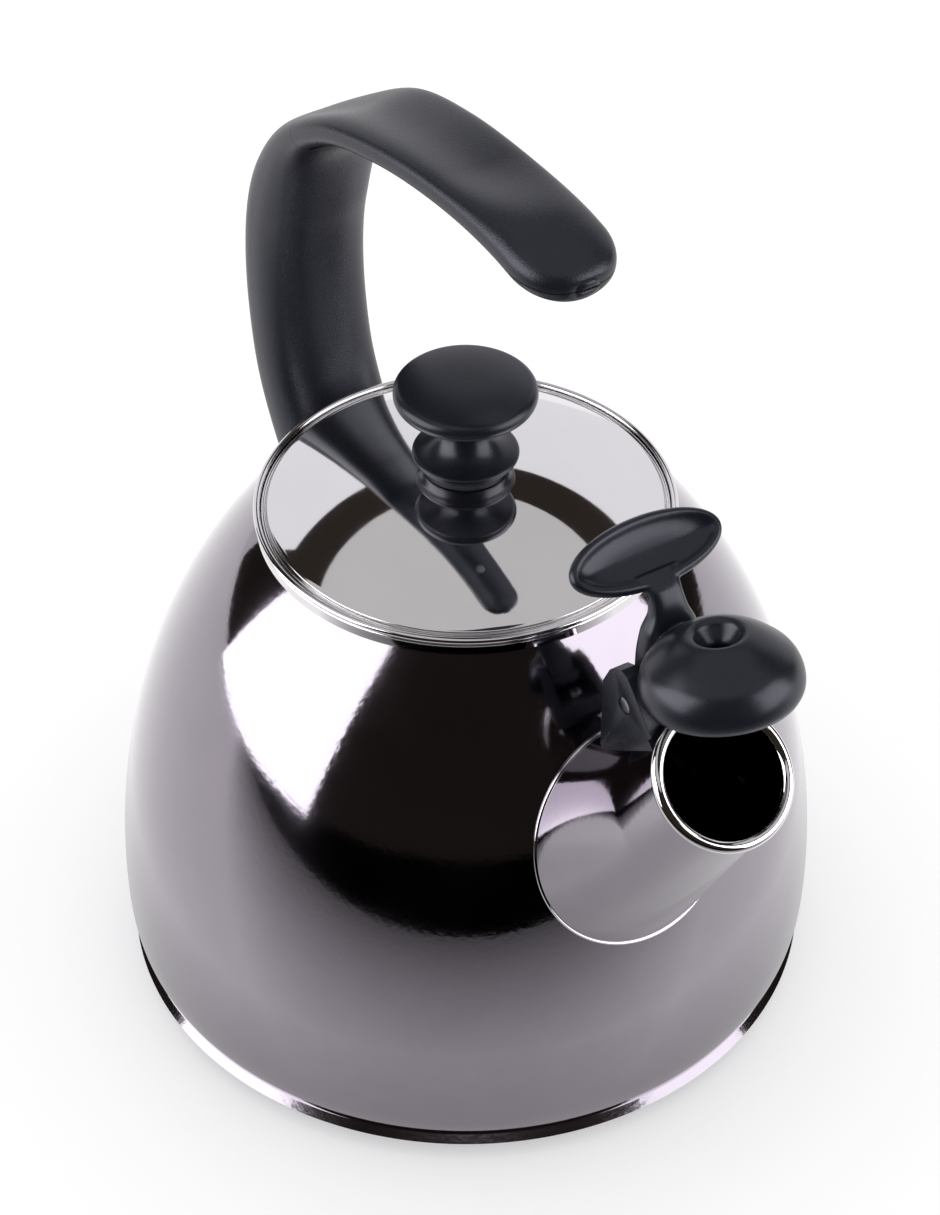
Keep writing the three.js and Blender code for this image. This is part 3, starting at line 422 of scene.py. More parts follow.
def sheet_ripple():
    """Height: broad dents plus fine peel, each a noise; Haze: a slow mask for the roughness."""
    g, i, o = group("sheet_ripple", [("Peel", 420.0), ("Dent", 45.0), ("Share", 0.35)],
                    ["Height", "Haze"])
    peel = noise(g, i.outputs["Place"], i.outputs["Peel"], 2)
    dent = noise(g, i.outputs["Place"], i.outputs["Dent"], 1)
    mixed = sums(g, "MULTIPLY_ADD", dent, i.outputs["Share"], peel)
    g.links.new(mixed, o.inputs["Height"])
    g.links.new(noise(g, i.outputs["Place"], 28.0, 4, 0.6), o.inputs["Haze"])
    return g


def mould_grain():
    """Height: rounded pebbles from cell distance plus noise; Speck: a mask of the high points."""
    g, i, o = group("mould_grain", [("Size", 1500.0)], ["Height", "Speck", "Cloud"])
    cells = g.nodes.new("ShaderNodeTexVoronoi")
    g.links.new(i.outputs["Place"], cells.inputs["Vector"])
    g.links.new(i.outputs["Size"], cells.inputs["Scale"])
    fine = noise(g, i.outputs["Place"], sums(g, "MULTIPLY", i.outputs["Size"], 1.7), 2)
    height = sums(g, "SUBTRACT", fine, sums(g, "MULTIPLY", cells.outputs["Distance"], 0.6))
    g.links.new(height, o.inputs["Height"])
    g.links.new(sums(g, "GREATER_THAN", fine, 0.64), o.inputs["Speck"])
    g.links.new(noise(g, i.outputs["Place"], 60.0, 3), o.inputs["Cloud"])
    return g


def turned_lines():
    """Height: noise along the radius and height only, so that it makes rings round Z."""
    g, i, o = group("turned_lines", [("Fineness", 3000.0)], ["Height"])
    apart = g.nodes.new("ShaderNodeSeparateXYZ")
    g.links.new(i.outputs["Place"], apart.inputs[0])
    x2 = sums(g, "MULTIPLY", apart.outputs[0], apart.outputs[0])
    radius = sums(g, "SQRT", sums(g, "MULTIPLY_ADD", apart.outputs[1], apart.outputs[1], x2))
    both = g.nodes.new("ShaderNodeCombineXYZ")
    g.links.new(radius, both.inputs[0])
    g.links.new(apart.outputs[2], both.inputs[1])
    g.links.new(noise(g, both.outputs[0], i.outputs["Fineness"], 2), o.inputs["Height"])
    return g


effects = {f.__name__: f() for f in (sheet_ripple, mould_grain, turned_lines)}
print("effects:", sorted(effects))


# %% Finishes
class Finish:
    """A material with one Principled shader, and short ways to place effects and feed sockets."""

    def __init__(self, name, **sockets):
        self.m = bpy.data.materials.new(name)
        self.m.use_nodes = True
        self.t = self.m.node_tree
        self.shader = self.t.nodes["Principled BSDF"]
        for key, value in sockets.items():
            self.shader.inputs[key.replace("_", " ")].default_value = value
        self.place = self.t.nodes.new("ShaderNodeTexCoord").outputs["Object"]

    def effect(self, name, **values):
        n = self.t.nodes.new("ShaderNodeGroup")
        n.node_tree = effects[name]
        self.t.links.new(self.place, n.inputs["Place"])
        for key, value in values.items():
            n.inputs[key].default_value = value
        return n

    def spread(self, mask, socket, low, high):
        """A socket's value from low to high as mask goes from 0.3 to 0.7."""
        n = self.t.nodes.new("ShaderNodeMapRange")
        n.inputs["From Min"].default_value, n.inputs["From Max"].default_value = 0.3, 0.7
        n.inputs["To Min"].default_value, n.inputs["To Max"].default_value = low, high
        self.t.links.new(mask, n.inputs["Value"])
        self.t.links.new(n.outputs[0], self.shader.inputs[socket])

    def tint(self, mask, first, second):
        """Base colour from first to second as mask goes from 0.3 to 0.7."""
        n = self.t.nodes.new("ShaderNodeValToRGB")
        n.color_ramp.elements[0].position, n.color_ramp.elements[1].position = 0.3, 0.7
        n.color_ramp.elements[0].color = (*first, 1)
        n.color_ramp.elements[1].color = (*second, 1)
        self.t.links.new(mask, n.inputs[0])
        self.t.links.new(n.outputs[0], self.shader.inputs["Base Color"])

    def bump(self, height, strength, depth_mm):
        n = self.t.nodes.new("ShaderNodeBump")
        n.inputs["Strength"].default_value = strength
        n.inputs["Distance"].default_value = depth_mm * MM
        self.t.links.new(height, n.inputs["Height"])
        self.t.links.new(n.outputs[0], self.shader.inputs["Normal"])


def gunmetal():
    """Brown-grey metal under clear lacquer, with the lacquer's peel."""
    f = Finish("gunmetal", Metallic=1.0, Roughness=0.09, Coat_Weight=1.0, Coat_Roughness=0.02)
    ripple = f.effect("sheet_ripple", Peel=520.0, Dent=60.0, Share=0.5)
    f.bump(ripple.outputs["Height"], 0.35, 0.05)
    f.tint(ripple.outputs["Haze"], (0.256, 0.232, 0.270), (0.286, 0.258, 0.300))
    f.spread(ripple.outputs["Haze"], "Roughness", 0.06, 0.12)
    return f.m


def polished():
    """Bright stainless steel."""
    f = Finish("polished_steel", Metallic=1.0, Roughness=0.04)
    ripple = f.effect("sheet_ripple", Peel=160.0, Dent=30.0, Share=1.0)
    f.bump(ripple.outputs["Height"], 0.25, 0.02)
    f.tint(ripple.outputs["Haze"], (0.80, 0.79, 0.80), (0.84, 0.83, 0.84))
    f.spread(ripple.outputs["Haze"], "Roughness", 0.03, 0.07)
    return f.m


def brushed(name, first, second, roughness, fineness, depth):
    """A turned or brushed metal."""
    f = Finish(name, Metallic=1.0, Roughness=roughness)
    ripple = f.effect("sheet_ripple", Peel=300.0, Dent=40.0, Share=0.5)
    f.tint(ripple.outputs["Haze"], first, second)
    f.spread(ripple.outputs["Haze"], "Roughness", roughness - 0.05, roughness + 0.08)
    f.bump(f.effect("turned_lines", Fineness=fineness).outputs["Height"], 0.4, depth)
    return f.m


def nylon(name, size, depth, low, high):
    """Blue-black moulded nylon: grain with glossier high points, and a slow change of shade."""
    f = Finish(name, Metallic=0.0, Roughness=0.3, Specular_IOR_Level=0.55)
    f.shader.inputs["Specular Tint"].default_value = (0.86, 0.88, 1, 1)
    grain = f.effect("mould_grain", Size=size)
    f.bump(grain.outputs["Height"], 0.55, depth)
    f.tint(grain.outputs["Cloud"], (0.0045, 0.0060, 0.0110), (0.0075, 0.0095, 0.0160))
    f.spread(grain.outputs["Speck"], "Roughness", high, low)
    return f.m


finishes = {
    "gunmetal": gunmetal(),
    "polished_steel": polished(),
    "satin_steel": brushed("satin_steel", (0.50, 0.50, 0.51), (0.58, 0.57, 0.58), 0.28, 2600, 0.01),
    "aluminium": brushed("aluminium", (0.58, 0.59, 0.60), (0.66, 0.66, 0.67), 0.38, 1900, 0.03),
    "brass": brushed("brass", (0.60, 0.44, 0.18), (0.68, 0.50, 0.22), 0.30, 2600, 0.01),
    "black_nylon": nylon("black_nylon", 1700.0, 0.075, 0.24, 0.35),
    "fine_nylon": nylon("fine_nylon", 3200.0, 0.018, 0.22, 0.31),
}
print("finishes:", sorted(finishes))

# %% [markdown]
# ## Body
# The body is drawn from sheet: a small foot, a wide belly low down and a long shoulder up to the
# opening. Its outline is two cubic curves, both upright at the widest ring, so light runs over it
# without a break. The outline is turned round the axis with the sheet's thickness inside, and the
# hole under the spout is cut with the spout's own shape, a little smaller.

# %% Body outline
GAP = 0.3
FOOT_Z, BASE_T, BASE_R, CHAMFER = 3.0, 2.7, 74, 0.8
WALL, BELLY_R, BELLY_RISE, FOOT_R, NECK_R, SHELL_H = 0.9, 100, 28, 77, 57, 150
SLOPE, SEAM_T = np.radians(47), 0.35
NECK_Z = FOOT_Z + SHELL_H
PULL = 0.224 * SHELL_H
corner_points = [(FOOT_R, FOOT_Z), (FOOT_R + 0.91 * (BELLY_R - FOOT_R), FOOT_Z),
                 (BELLY_R, FOOT_Z + 0.21 * BELLY_RISE), (BELLY_R, FOOT_Z + BELLY_RISE)]
side_points = [(BELLY_R, FOOT_Z + BELLY_RISE),
               (BELLY_R, FOOT_Z + BELLY_RISE + 0.45 * (SHELL_H - BELLY_RISE)),
               (NECK_R + PULL * np.cos(SLOPE), NECK_Z - PULL * np.sin(SLOPE)), (NECK_R, NECK_Z)]


def outline(low, fine):
    """The body's outside from low on the corner curve to the neck."""
    corner = cubic(corner_points, np.linspace(low, 1, max(4, fine // 4)))
    return np.vstack([corner, cubic(side_points, np.linspace(0, 1, fine))[1:]])


def envelope(grow, fine=90):
    """Everything inside the body's outside, grown by a distance, as a closed mesh."""
    skin = beside(outline(0, fine), grow)
    ends = [(0, FOOT_Z - grow)], [(skin[-1, 0], NECK_Z + grow), (0, NECK_Z + grow)]
    return turned(np.vstack([ends[0], skin, ends[1]]))


low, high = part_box("body_shell")
print("belly", BELLY_R, "mm; the frame has", round(high.x / MM, 2), "; neck", NECK_Z,
      "mm; the frame has", round(high.z / MM, 2))

# %% Spout outline
MOUTH = np.array([BELLY_R + 22, 0, NECK_Z + 0.3])
SPOUT_TURN = np.pi / 2 - np.radians(49.7)
MOUTH_R, RIM_R, SPREAD, THROAT, FLARE = 17.9, 1.7, 0.18, 25, 0.05


def swing(points, angle, at):
    """Points turned about Y by angle and moved to at: x' = x cos + z sin, z' = z cos - x sin."""
    c, s = np.cos(angle), np.sin(angle)
    x, y, z = points[..., 0], points[..., 1], points[..., 2]
    return np.stack([x * c + z * s + at[0], y + at[1], z * c - x * s + at[2]], -1)


def spout_point(behind, a, grow):
    """A point on the spout: its lower side spreads evenly with the distance behind the mouth, and
    its upper side stays narrow as far as the throat, so the round section shifts as it grows."""
    lower = MOUTH_R + SPREAD * behind
    upper = MOUTH_R + FLARE * np.maximum(behind - THROAT, 0) ** 1.5
    r, shift = (lower + upper) / 2 + grow, (lower - upper) / 2
    p = np.stack(np.broadcast_arrays(shift + r * np.cos(a), r * np.sin(a), -behind), -1)
    return swing(p, SPOUT_TURN, MOUTH)


def plug(grow, start, stop, rows=40, around=160):
    """The spout as a closed plug between two distances behind the mouth."""
    behind = np.linspace(stop, start, rows)[:, None]
    a = np.linspace(0, 2 * np.pi, around, endpoint=False)[None, :]
    return loft(spout_point(behind, a, grow))


# %% Body pieces
skin = outline(SEAM_T, 110)
inside = beside(outline(SEAM_T, 44), -WALL)[::-1]
body = mesh_object("body", *turned(np.vstack([skin, inside])))
cut(body, plug(-5, 2, 90))
placed(body, "kettle", "gunmetal", finishes["gunmetal"], "body_shell")

lap = WALL + 3 * GAP
rising = lambda a, b, n, grow: beside(cubic(corner_points, np.linspace(a, b, n)), grow)
pan_profile = np.vstack([
    [(0, FOOT_Z)], rising(0, 0.345, 18, 0), rising(0.36, 0.5, 8, -lap),
    rising(0.5, 0.36, 8, -lap - WALL), rising(0.3, 0, 10, -WALL), [(0, FOOT_Z + WALL)]])
pan = mesh_object("pan", *turned(pan_profile))
placed(pan, "kettle", "gunmetal", finishes["gunmetal"], "base_pan")

plate_profile = soften([(0, 0), (BASE_R - CHAMFER, 0), (BASE_R, CHAMFER), (BASE_R, BASE_T),
                        (0, BASE_T)], 0.35, closed=False)
plate = mesh_object("plate", *turned(plate_profile))
placed(plate, "kettle", "aluminium", finishes["aluminium"], "base_plate")

# %% [markdown]
# ## Opening ring
# The opening is finished with a bright rolled ring: a round bead on top, a finer bead just under
# it, a short wall, and inside it a seat for the lid and a guide for the lid's collar.

# %% Opening ring
RING_H, RING_BEAD, RING_WALL = 5.5, 0.95, 0.8
LEDGE_DROP, LEDGE_IN, GUIDE_H = 2.6, 3.6, 9
RING_TOP = NECK_Z + RING_H
LEDGE_Z = RING_TOP - LEDGE_DROP
GUIDE_R = NECK_R - RING_WALL - LEDGE_IN
wall_in, ring_foot, RING_FOOT = NECK_R - RING_WALL, NECK_Z + GAP, 1.2
UNDER_BEAD = 0.42
ring_profile = np.vstack([
    soften([(NECK_R + 0.25, ring_foot), (NECK_R + 0.1, ring_foot + 0.8),
            (NECK_R - 0.15, RING_TOP - 3.1)], 0.5, closed=False),
    arc((NECK_R + 0.1, RING_TOP - 2.35), UNDER_BEAD, -80, 65, 12),
    arc((NECK_R - 0.05, RING_TOP - RING_BEAD), RING_BEAD, -42, 180, 26),
    soften([(wall_in, RING_TOP - RING_BEAD - 0.4), (wall_in, LEDGE_Z), (GUIDE_R, LEDGE_Z),
            (GUIDE_R, LEDGE_Z - GUIDE_H), (GUIDE_R + RING_WALL, LEDGE_Z - GUIDE_H),
            (GUIDE_R + RING_WALL, LEDGE_Z - RING_WALL), (wall_in - RING_FOOT, LEDGE_Z - RING_WALL),
            (wall_in - RING_FOOT, ring_foot)], 0.4, closed=False)])
ring = mesh_object("ring", *turned(ring_profile))
placed(ring, "kettle", "polished_steel", finishes["polished_steel"], "opening_ring")

# %% [markdown]
# ## Spout
# The spout is a short leaning tube that widens towards the body. Each line along it is followed
# back until it meets the body's skin, by halving the distance again and again for every line at
# once, so the foot follows the belly exactly. A fine bright bead of weld runs round that foot.

# %% Spout
SPOUT_ROWS, SPOUT_ROUND = 60, 220


def meeting(a, grow, clear):
    """How far behind the mouth each line of the spout meets the body's skin, moved out by clear:
    forty halvings of the span in which the line goes from outside to inside."""
    skin = beside(outline(0, 260), clear)
    near, far = np.full(a.shape, 8.0), np.full(a.shape, 110.0)
    for _ in range(40):
        middle = (near + far) / 2
        p = spout_point(middle, a, grow)
        out = np.hypot(p[..., 0], p[..., 1]) > np.interp(p[..., 2], skin[:, 1], skin[:, 0])
        near, far = np.where(out, middle, near), np.where(out, far, middle)
    return (near + far) / 2


a = np.linspace(0, 2 * np.pi, SPOUT_ROUND, endpoint=False)
first = RIM_R + GAP
share = np.linspace(0, 1, SPOUT_ROWS)[:, None]
foot = meeting(a, 0, GAP)
outer = spout_point(first + (foot - first) * share, a, 0)
inner = spout_point(first + (meeting(a, -WALL, GAP) - first) * share[::-1], a, -WALL)
spout = mesh_object("spout", *loft(np.vstack([outer, inner]), ring=True))
placed(spout, "kettle", "gunmetal", finishes["gunmetal"], "spout_tube")


def bead(path, radius, steps=14):
    """A round bead along a closed path: a circle in the plane across the path at each point."""
    along = np.roll(path, -1, 0) - np.roll(path, 1, 0)
    along /= np.linalg.norm(along, axis=1)[:, None]
    out = path - path.mean(0)
    out -= (out * along).sum(1)[:, None] * along
    out /= np.linalg.norm(out, axis=1)[:, None]
    up = np.cross(along, out)
    t = np.linspace(0, 2 * np.pi, steps, endpoint=False)[None, :, None]
    return path[:, None] + radius * (np.cos(t) * out[:, None] + np.sin(t) * up[:, None])


weld = mesh_object("spout_weld", *loft(bead(spout_point(foot - 0.1, a, 0.05), 0.42), ring=True))
placed(weld, "kettle", "polished_steel", finishes["polished_steel"])

t = np.linspace(0, 2 * np.pi, 64, endpoint=False)
groove = 0.5 * np.exp(-(((np.degrees(t) - 318) / 13) ** 2))
rim_profile = np.c_[MOUTH_R + (RIM_R - groove) * np.cos(t), (RIM_R - groove) * np.sin(t)]
rim = mesh_object("rim", *moved(turned(rim_profile, 220), lambda p: swing(p, SPOUT_TURN, MOUTH)))
placed(rim, "kettle", "polished_steel", finishes["polished_steel"], "spout_rim")

# %% [markdown]
# ## Lid
# The lid is a low polished dome. Its edge steps down steeply to a rolled bead that sits in the
# ring. A collar under it keeps it in place. The knob is turned as one piece: low foot, thin
# flange, hollow neck and a flat cap with a rounded edge.

# %% Lid
LID_T, LID_BEAD, LID_FLANK, LID_CROWN, LID_CLEAR, COLLAR_H = 0.8, 0.7, 1.2, 13.3, 0.5, 8
LID_EDGE_R = NECK_R - RING_WALL - GAP
LID_EDGE_Z = LEDGE_Z + GAP + LID_BEAD
DOME_R = LID_EDGE_R - 2 * LID_BEAD - GAP
LID_TOP = LID_EDGE_Z + LID_FLANK + LID_CROWN
BALL = (DOME_R**2 + LID_CROWN**2) / (2 * LID_CROWN)
BORE = 2.4 + GAP


def crown(r):
    """Height of a ball of radius BALL whose top is LID_TOP."""
    return LID_TOP - BALL + np.sqrt(BALL**2 - r**2)


r = np.linspace(BORE, DOME_R - 0.35, 60)
edge_in = DOME_R - LID_T
step = soften([(DOME_R - 0.35, crown(DOME_R - 0.35)), (DOME_R, crown(DOME_R) - 0.05),
               (DOME_R + 0.15, LID_EDGE_Z), (DOME_R + 0.38, LID_EDGE_Z + 0.25)], 0.4, 5,
              closed=False)
lid_profile = np.vstack([
    np.c_[r, crown(r)], step[1:],
    arc((LID_EDGE_R - LID_BEAD, LID_EDGE_Z), LID_BEAD, 158, -90, 24),
    [(edge_in, LID_EDGE_Z - LID_BEAD), (edge_in, crown(edge_in) - LID_T)],
    np.c_[r, crown(r) - LID_T][r < edge_in - 0.3][::-2]])
lid = mesh_object("lid", *turned(lid_profile))
placed(lid, "lid", "polished_steel", finishes["polished_steel"], "lid_shell")

COLLAR_R = GUIDE_R - LID_CLEAR
lip, bend = ((q, crown(q) - LID_T - GAP) for q in (COLLAR_R - 4, COLLAR_R - 2))
collar_profile = soften([
    (COLLAR_R, LEDGE_Z - COLLAR_H), (COLLAR_R, LEDGE_Z - GAP), bend, lip,
    (lip[0], lip[1] - LID_T), (bend[0] - LID_T, bend[1] - LID_T),
    (COLLAR_R - LID_T, LEDGE_Z - GAP - LID_T), (COLLAR_R - LID_T, LEDGE_Z - COLLAR_H)], 0.35)
collar = mesh_object("collar", *turned(collar_profile))
placed(collar, "lid", "satin_steel", finishes["satin_steel"], "lid_collar")

# %% Knob
KNOB_R, KNOB_FLANGE_R, KNOB_NECK_R, KNOB_FOOT_R, KNOB_H = 19.4, 14.5, 5.9, 12, 27.4
KNOB_Z = LID_TOP + GAP
INSERT_R, INSERT_H = 3.9, 11
flange, cap_z, knob_edge = KNOB_Z + 3.8, KNOB_Z + KNOB_H, 2.65
neck_z, foot_z = cap_z - 11.6, crown(KNOB_FOOT_R) + GAP
t = np.linspace(0, 1, 26)
knob_profile = np.vstack([
    [(0, KNOB_Z + INSERT_H + GAP), (INSERT_R + GAP, KNOB_Z + INSERT_H + GAP),
     (INSERT_R + GAP, KNOB_Z)],
    soften([(KNOB_FOOT_R - 0.6, foot_z), (KNOB_FOOT_R, foot_z), (KNOB_FOOT_R + 1, flange - 1.6),
            (KNOB_FLANGE_R - 0.6, flange - 0.8)], 0.6, closed=False),
    arc((KNOB_FLANGE_R - 0.85, flange + 0.05), 0.85, -50, 62, 10),
    cubic([(KNOB_FLANGE_R - 0.5, flange + 0.85), (KNOB_FLANGE_R - 5.5, flange + 2.2),
           (KNOB_NECK_R, flange + 5.5), (KNOB_NECK_R, neck_z - 1.2)], t),
    cubic([(KNOB_NECK_R, neck_z), (KNOB_NECK_R + 1, neck_z + 3),
           (KNOB_R - 7, cap_z - 7.4), (KNOB_R - 1.6, cap_z - 6.4)], t),
    arc((KNOB_R - knob_edge, cap_z - 1.2 - knob_edge), knob_edge, -55, 70, 14),
    cubic([(KNOB_R - knob_edge, cap_z - 1.2), (KNOB_R - 7, cap_z - 0.2), (KNOB_R / 3, cap_z),
           (0, cap_z)], t)])
knob = mesh_object("knob", *turned(knob_profile, 160))
placed(knob, "lid", "black_nylon", finishes["fine_nylon"], "lid_knob")

# %% [markdown]
# ## Handle
# The handle is a hook that rises behind the lid and reaches forward over it. Its middle line is a
# smooth curve through a few points. At each step along it the section is a rounded square whose
# width and depth change, with a hollow for the palm on the grip. A fine seam splits the grip into a
# lower moulding and an upper cover, so the section is cut at one height there and both halves get
# their own flat face. Relief and screw pockets are then cut out.

# %% Handle line
path_points = np.array([
    (-64, 122), (-74.5, 137), (-81.7, 152), (-85.3, 170), (-86, 189), (-83.6, 206), (-77.5, 222),
    (-66, 238.5), (-46, 252.8), (-20, 260.5), (8, 264), (34, 264), (56, 260.2)], float)
path_points[:, 1] += FOOT_Z


def through(points, fine=60):
    """A curve through points: between each two, a cubic whose slopes come from the neighbours,
    with the gaps weighted by the square root of their lengths."""
    p = np.vstack([2 * points[0] - points[1], points, 2 * points[-1] - points[-2]])
    p0, p1, p2, p3 = p[:-3], p[1:-2], p[2:-1], p[3:]
    gap = lambda a, b: np.sqrt(np.linalg.norm(b - a, axis=1))[:, None]
    d0, d1, d2 = gap(p0, p1), gap(p1, p2), gap(p2, p3)
    m1 = ((p1 - p0) / d0 - (p2 - p0) / (d0 + d1) + (p2 - p1) / d1) * d1
    m2 = ((p2 - p1) / d1 - (p3 - p1) / (d1 + d2) + (p3 - p2) / d2) * d1
    t = np.linspace(0, 1, fine, endpoint=False)[None, :, None]
    q = (2 * t**3 - 3 * t**2 + 1) * p1[:, None] + (t**3 - 2 * t**2 + t) * m1[:, None]
    q += (3 * t**2 - 2 * t**3) * p2[:, None] + (t**3 - t**2) * m2[:, None]
    return np.vstack([q.reshape(-1, 2), points[-1:]])


line = through(path_points)
run = np.r_[0, np.cumsum(np.linalg.norm(np.diff(line, axis=0), axis=1))]
slope = np.gradient(line, run, axis=0)
slope /= np.linalg.norm(slope, axis=1)[:, None]
print("handle's middle line:", round(run[-1], 1), "mm long")

# %% Handle section
POST_W, POST_D, POST_IN, GRIP_W, GRIP_D, GRIP_IN = 17, 10.6, 12.2, 14.2, 7.2, 5.8
SQUARENESS, TIP_L, COVER_FROM = 0.78, 0.055, 0.53
BEND, NARROWING, NOSE = (0.36, 0.54), (0.48, 0.88), (0.8, 0.97)
DISH, DISH_START, DISH_END = 4.2, (0.44, 0.58), (0.8, 0.93)


def station(u):
    """Middle, outward direction, half width, half depths, squareness and hollow at a share u of
    the handle's length."""
    s = u * run[-1]
    look = lambda v: np.stack([np.interp(s, run, v[:, 0]), np.interp(s, run, v[:, 1])], -1)
    at, along = look(line), look(slope)
    bend = smooth(u, *BEND)
    tip = np.maximum(0, (u - 1 + TIP_L) / TIP_L)
    end = np.sqrt(np.maximum(0, 1 - tip**2))
    width = POST_W + (GRIP_W - POST_W) * smooth(u, *NARROWING)
    down = POST_IN + (GRIP_IN - POST_IN) * bend + 0.8 * smooth(u, *NOSE)
    return dict(at=at, out=np.stack([-along[..., 1], along[..., 0]], -1), along=along,
                w=width * (0.25 + 0.75 * end),
                up=(POST_D + (GRIP_D - POST_D) * bend) * (0.45 + 0.55 * end),
                down=down * (0.35 + 0.65 * end),
                power=SQUARENESS + (1 - SQUARENESS) * bend,
                dish=DISH * smooth(u, *DISH_START) * (1 - smooth(u, *DISH_END)))


def section(s, angle):
    """Sideways and outward place on the section at an angle: width and depth times cosine and sine
    raised to a power, less the hollow (1 - (y/w)^2)^1.5 on the outer side."""
    w, up, down, dish = (s[k][:, None] for k in ("w", "up", "down", "dish"))
    power = np.where(np.sin(angle) < 0, s["power"][:, None], SQUARENESS)
    square = lambda v: np.sign(v) * np.abs(v) ** power
    y, high = w * square(np.cos(angle)), square(np.sin(angle))
    hollow = np.where(high > 0, dish * np.maximum(0, 1 - (y / w) ** 2) ** 1.5, 0)
    return y, high * np.where(high > 0, up, down) - hollow


def seam(u):
    """Height of the seam between the two mouldings, from the middle line."""
    return -3.6 + 4.4 * smooth(u, 0.86, 1)


def split_angle(s, v):
    """Angle at which the section is v high."""
    power = np.where(v < 0, s["power"], SQUARENESS)
    depth = np.where(v < 0, s["down"], s["up"])
    return np.sign(v) * np.arcsin(np.clip(np.abs(v) / depth, 0, 1) ** (1 / power))


def in_space(s, y, v):
    """Points from their sideways and outward places."""
    at, out = s["at"][:, None], s["out"][:, None]
    return np.stack([at[..., 0] + out[..., 0] * v, y, at[..., 1] + out[..., 1] * v], -1)


def tipped(grid, s):
    """The grid with a few more rows that draw in and forward over its last one, so that the tip
    is round."""
    last = grid[-1]
    heart = last.mean(0)
    ahead = np.array([s["along"][-1, 0], 0, s["along"][-1, 1]])
    turn = np.radians(np.array([25, 48, 68, 82]))[:, None, None]
    more = heart + (last - heart)[None] * np.cos(turn) + 1.0 * np.sin(turn) * ahead
    return np.vstack([grid, more])


UNDER, OVER = 76, 84
round_tip = 1 - TIP_L * (1 - np.sin(np.linspace(0, np.pi / 2, 26)[1:]))
shares = np.r_[np.linspace(0, 1 - TIP_L, 210), round_tip]

# %% Handle pieces
def frame_grid():
    """The lower moulding: its rows are whole sections as far as the seam's start, and then the
    part of the section under the seam, closed by a level line."""
    u = np.sort(np.r_[shares, COVER_FROM, COVER_FROM])
    s = station(u)
    split = split_angle(s, seam(u) - GAP)[:, None]
    t = np.linspace(0, 1, UNDER)[None, :]
    y, v = section(s, split + (-np.pi - 2 * split) * t)
    t = np.linspace(0, 1, OVER + 2)[None, 1:-1]
    y_over, v_over = section(s, np.pi - split - (np.pi - 2 * split) * t)
    reach = y[:, :1]
    whole = (np.arange(len(u)) <= np.searchsorted(u, COVER_FROM))[:, None]
    y_over = np.where(whole, y_over, reach * (2 * t - 1))
    v_over = np.where(whole, v_over, (seam(u) - GAP)[:, None])
    return tipped(in_space(s, np.hstack([y, y_over]), np.hstack([v, v_over])), s)


def cover_grid():
    """The upper cover: the part of the section over the seam, closed by a level line."""
    u = np.r_[COVER_FROM + 0.12 / run[-1], shares[shares > COVER_FROM + 0.004]]
    s = station(u)
    split = split_angle(s, seam(u))[:, None]
    t = np.linspace(0, 1, OVER)[None, :]
    y, v = section(s, split + (np.pi - 2 * split) * t)
    t = np.linspace(0, 1, 26)[None, 1:-1]
    y_under = y[:, :1] * (2 * t - 1)
    v_under = seam(u)[:, None] + 0 * y_under
    return tipped(in_space(s, np.hstack([y, y_under]), np.hstack([v, v_under])), s)


def across(u, part):
    """A part built round Z, set with its Z along the handle's outward direction at u."""
    s = station(np.array([u]))
    out, along = s["out"][0], s["along"][0]
    at = s["at"][0]

    def change(p):
        x = at[0] + p[:, 2] * out[0] - p[:, 0] * along[0]
        z = at[1] + p[:, 2] * out[1] - p[:, 0] * along[1]
        return np.stack([x, p[:, 1], z], -1)

    return moved(part, change)


def rod(radius, low, high, around=48):
    """A closed round bar about Z with softened ends."""
    profile = soften([(0, low), (radius, low), (radius, high), (0, high)], 0.15, closed=False)
    return turned(profile, around)


SCREW_U, SCREW_SINK, GRIP_SCREWS = 0.155, 4.5, (0.66, 0.85)
SCREW_HEAD_R, GRIP_HEAD_R, GRIP_SEAT = 4.4, 3.1, 5.4
pockets = [across(SCREW_U, rod(SCREW_HEAD_R + GAP, POST_D - SCREW_SINK, POST_D + 8))]
pockets += [across(u, rod(GRIP_HEAD_R + GAP, -16, -GRIP_SEAT)) for u in GRIP_SCREWS]


def thumb_relief():
    """A flattened ball turned half a right angle, sunk in the inner side of the bend."""
    ball = turned(arc((0, 0), 1, -90, 90, 33), 64)
    s = station(np.array([0.475]))
    at = s["at"][0] - s["out"][0] * POST_D * 0.86
    size = np.array([7.4, 8, 4.2])
    return moved(ball, lambda p: swing(p * size, -np.pi / 4, (at[0], 0, at[1])))


handle = mesh_object("handle", *loft(frame_grid()))
cut(handle, joined(*pockets, thumb_relief()))
cut(handle, envelope(GAP))
placed(handle, "kettle", "black_nylon", finishes["black_nylon"], "handle_frame")
cover = mesh_object("grip", *loft(cover_grid()))
placed(cover, "kettle", "black_nylon", finishes["black_nylon"], "grip_cover")
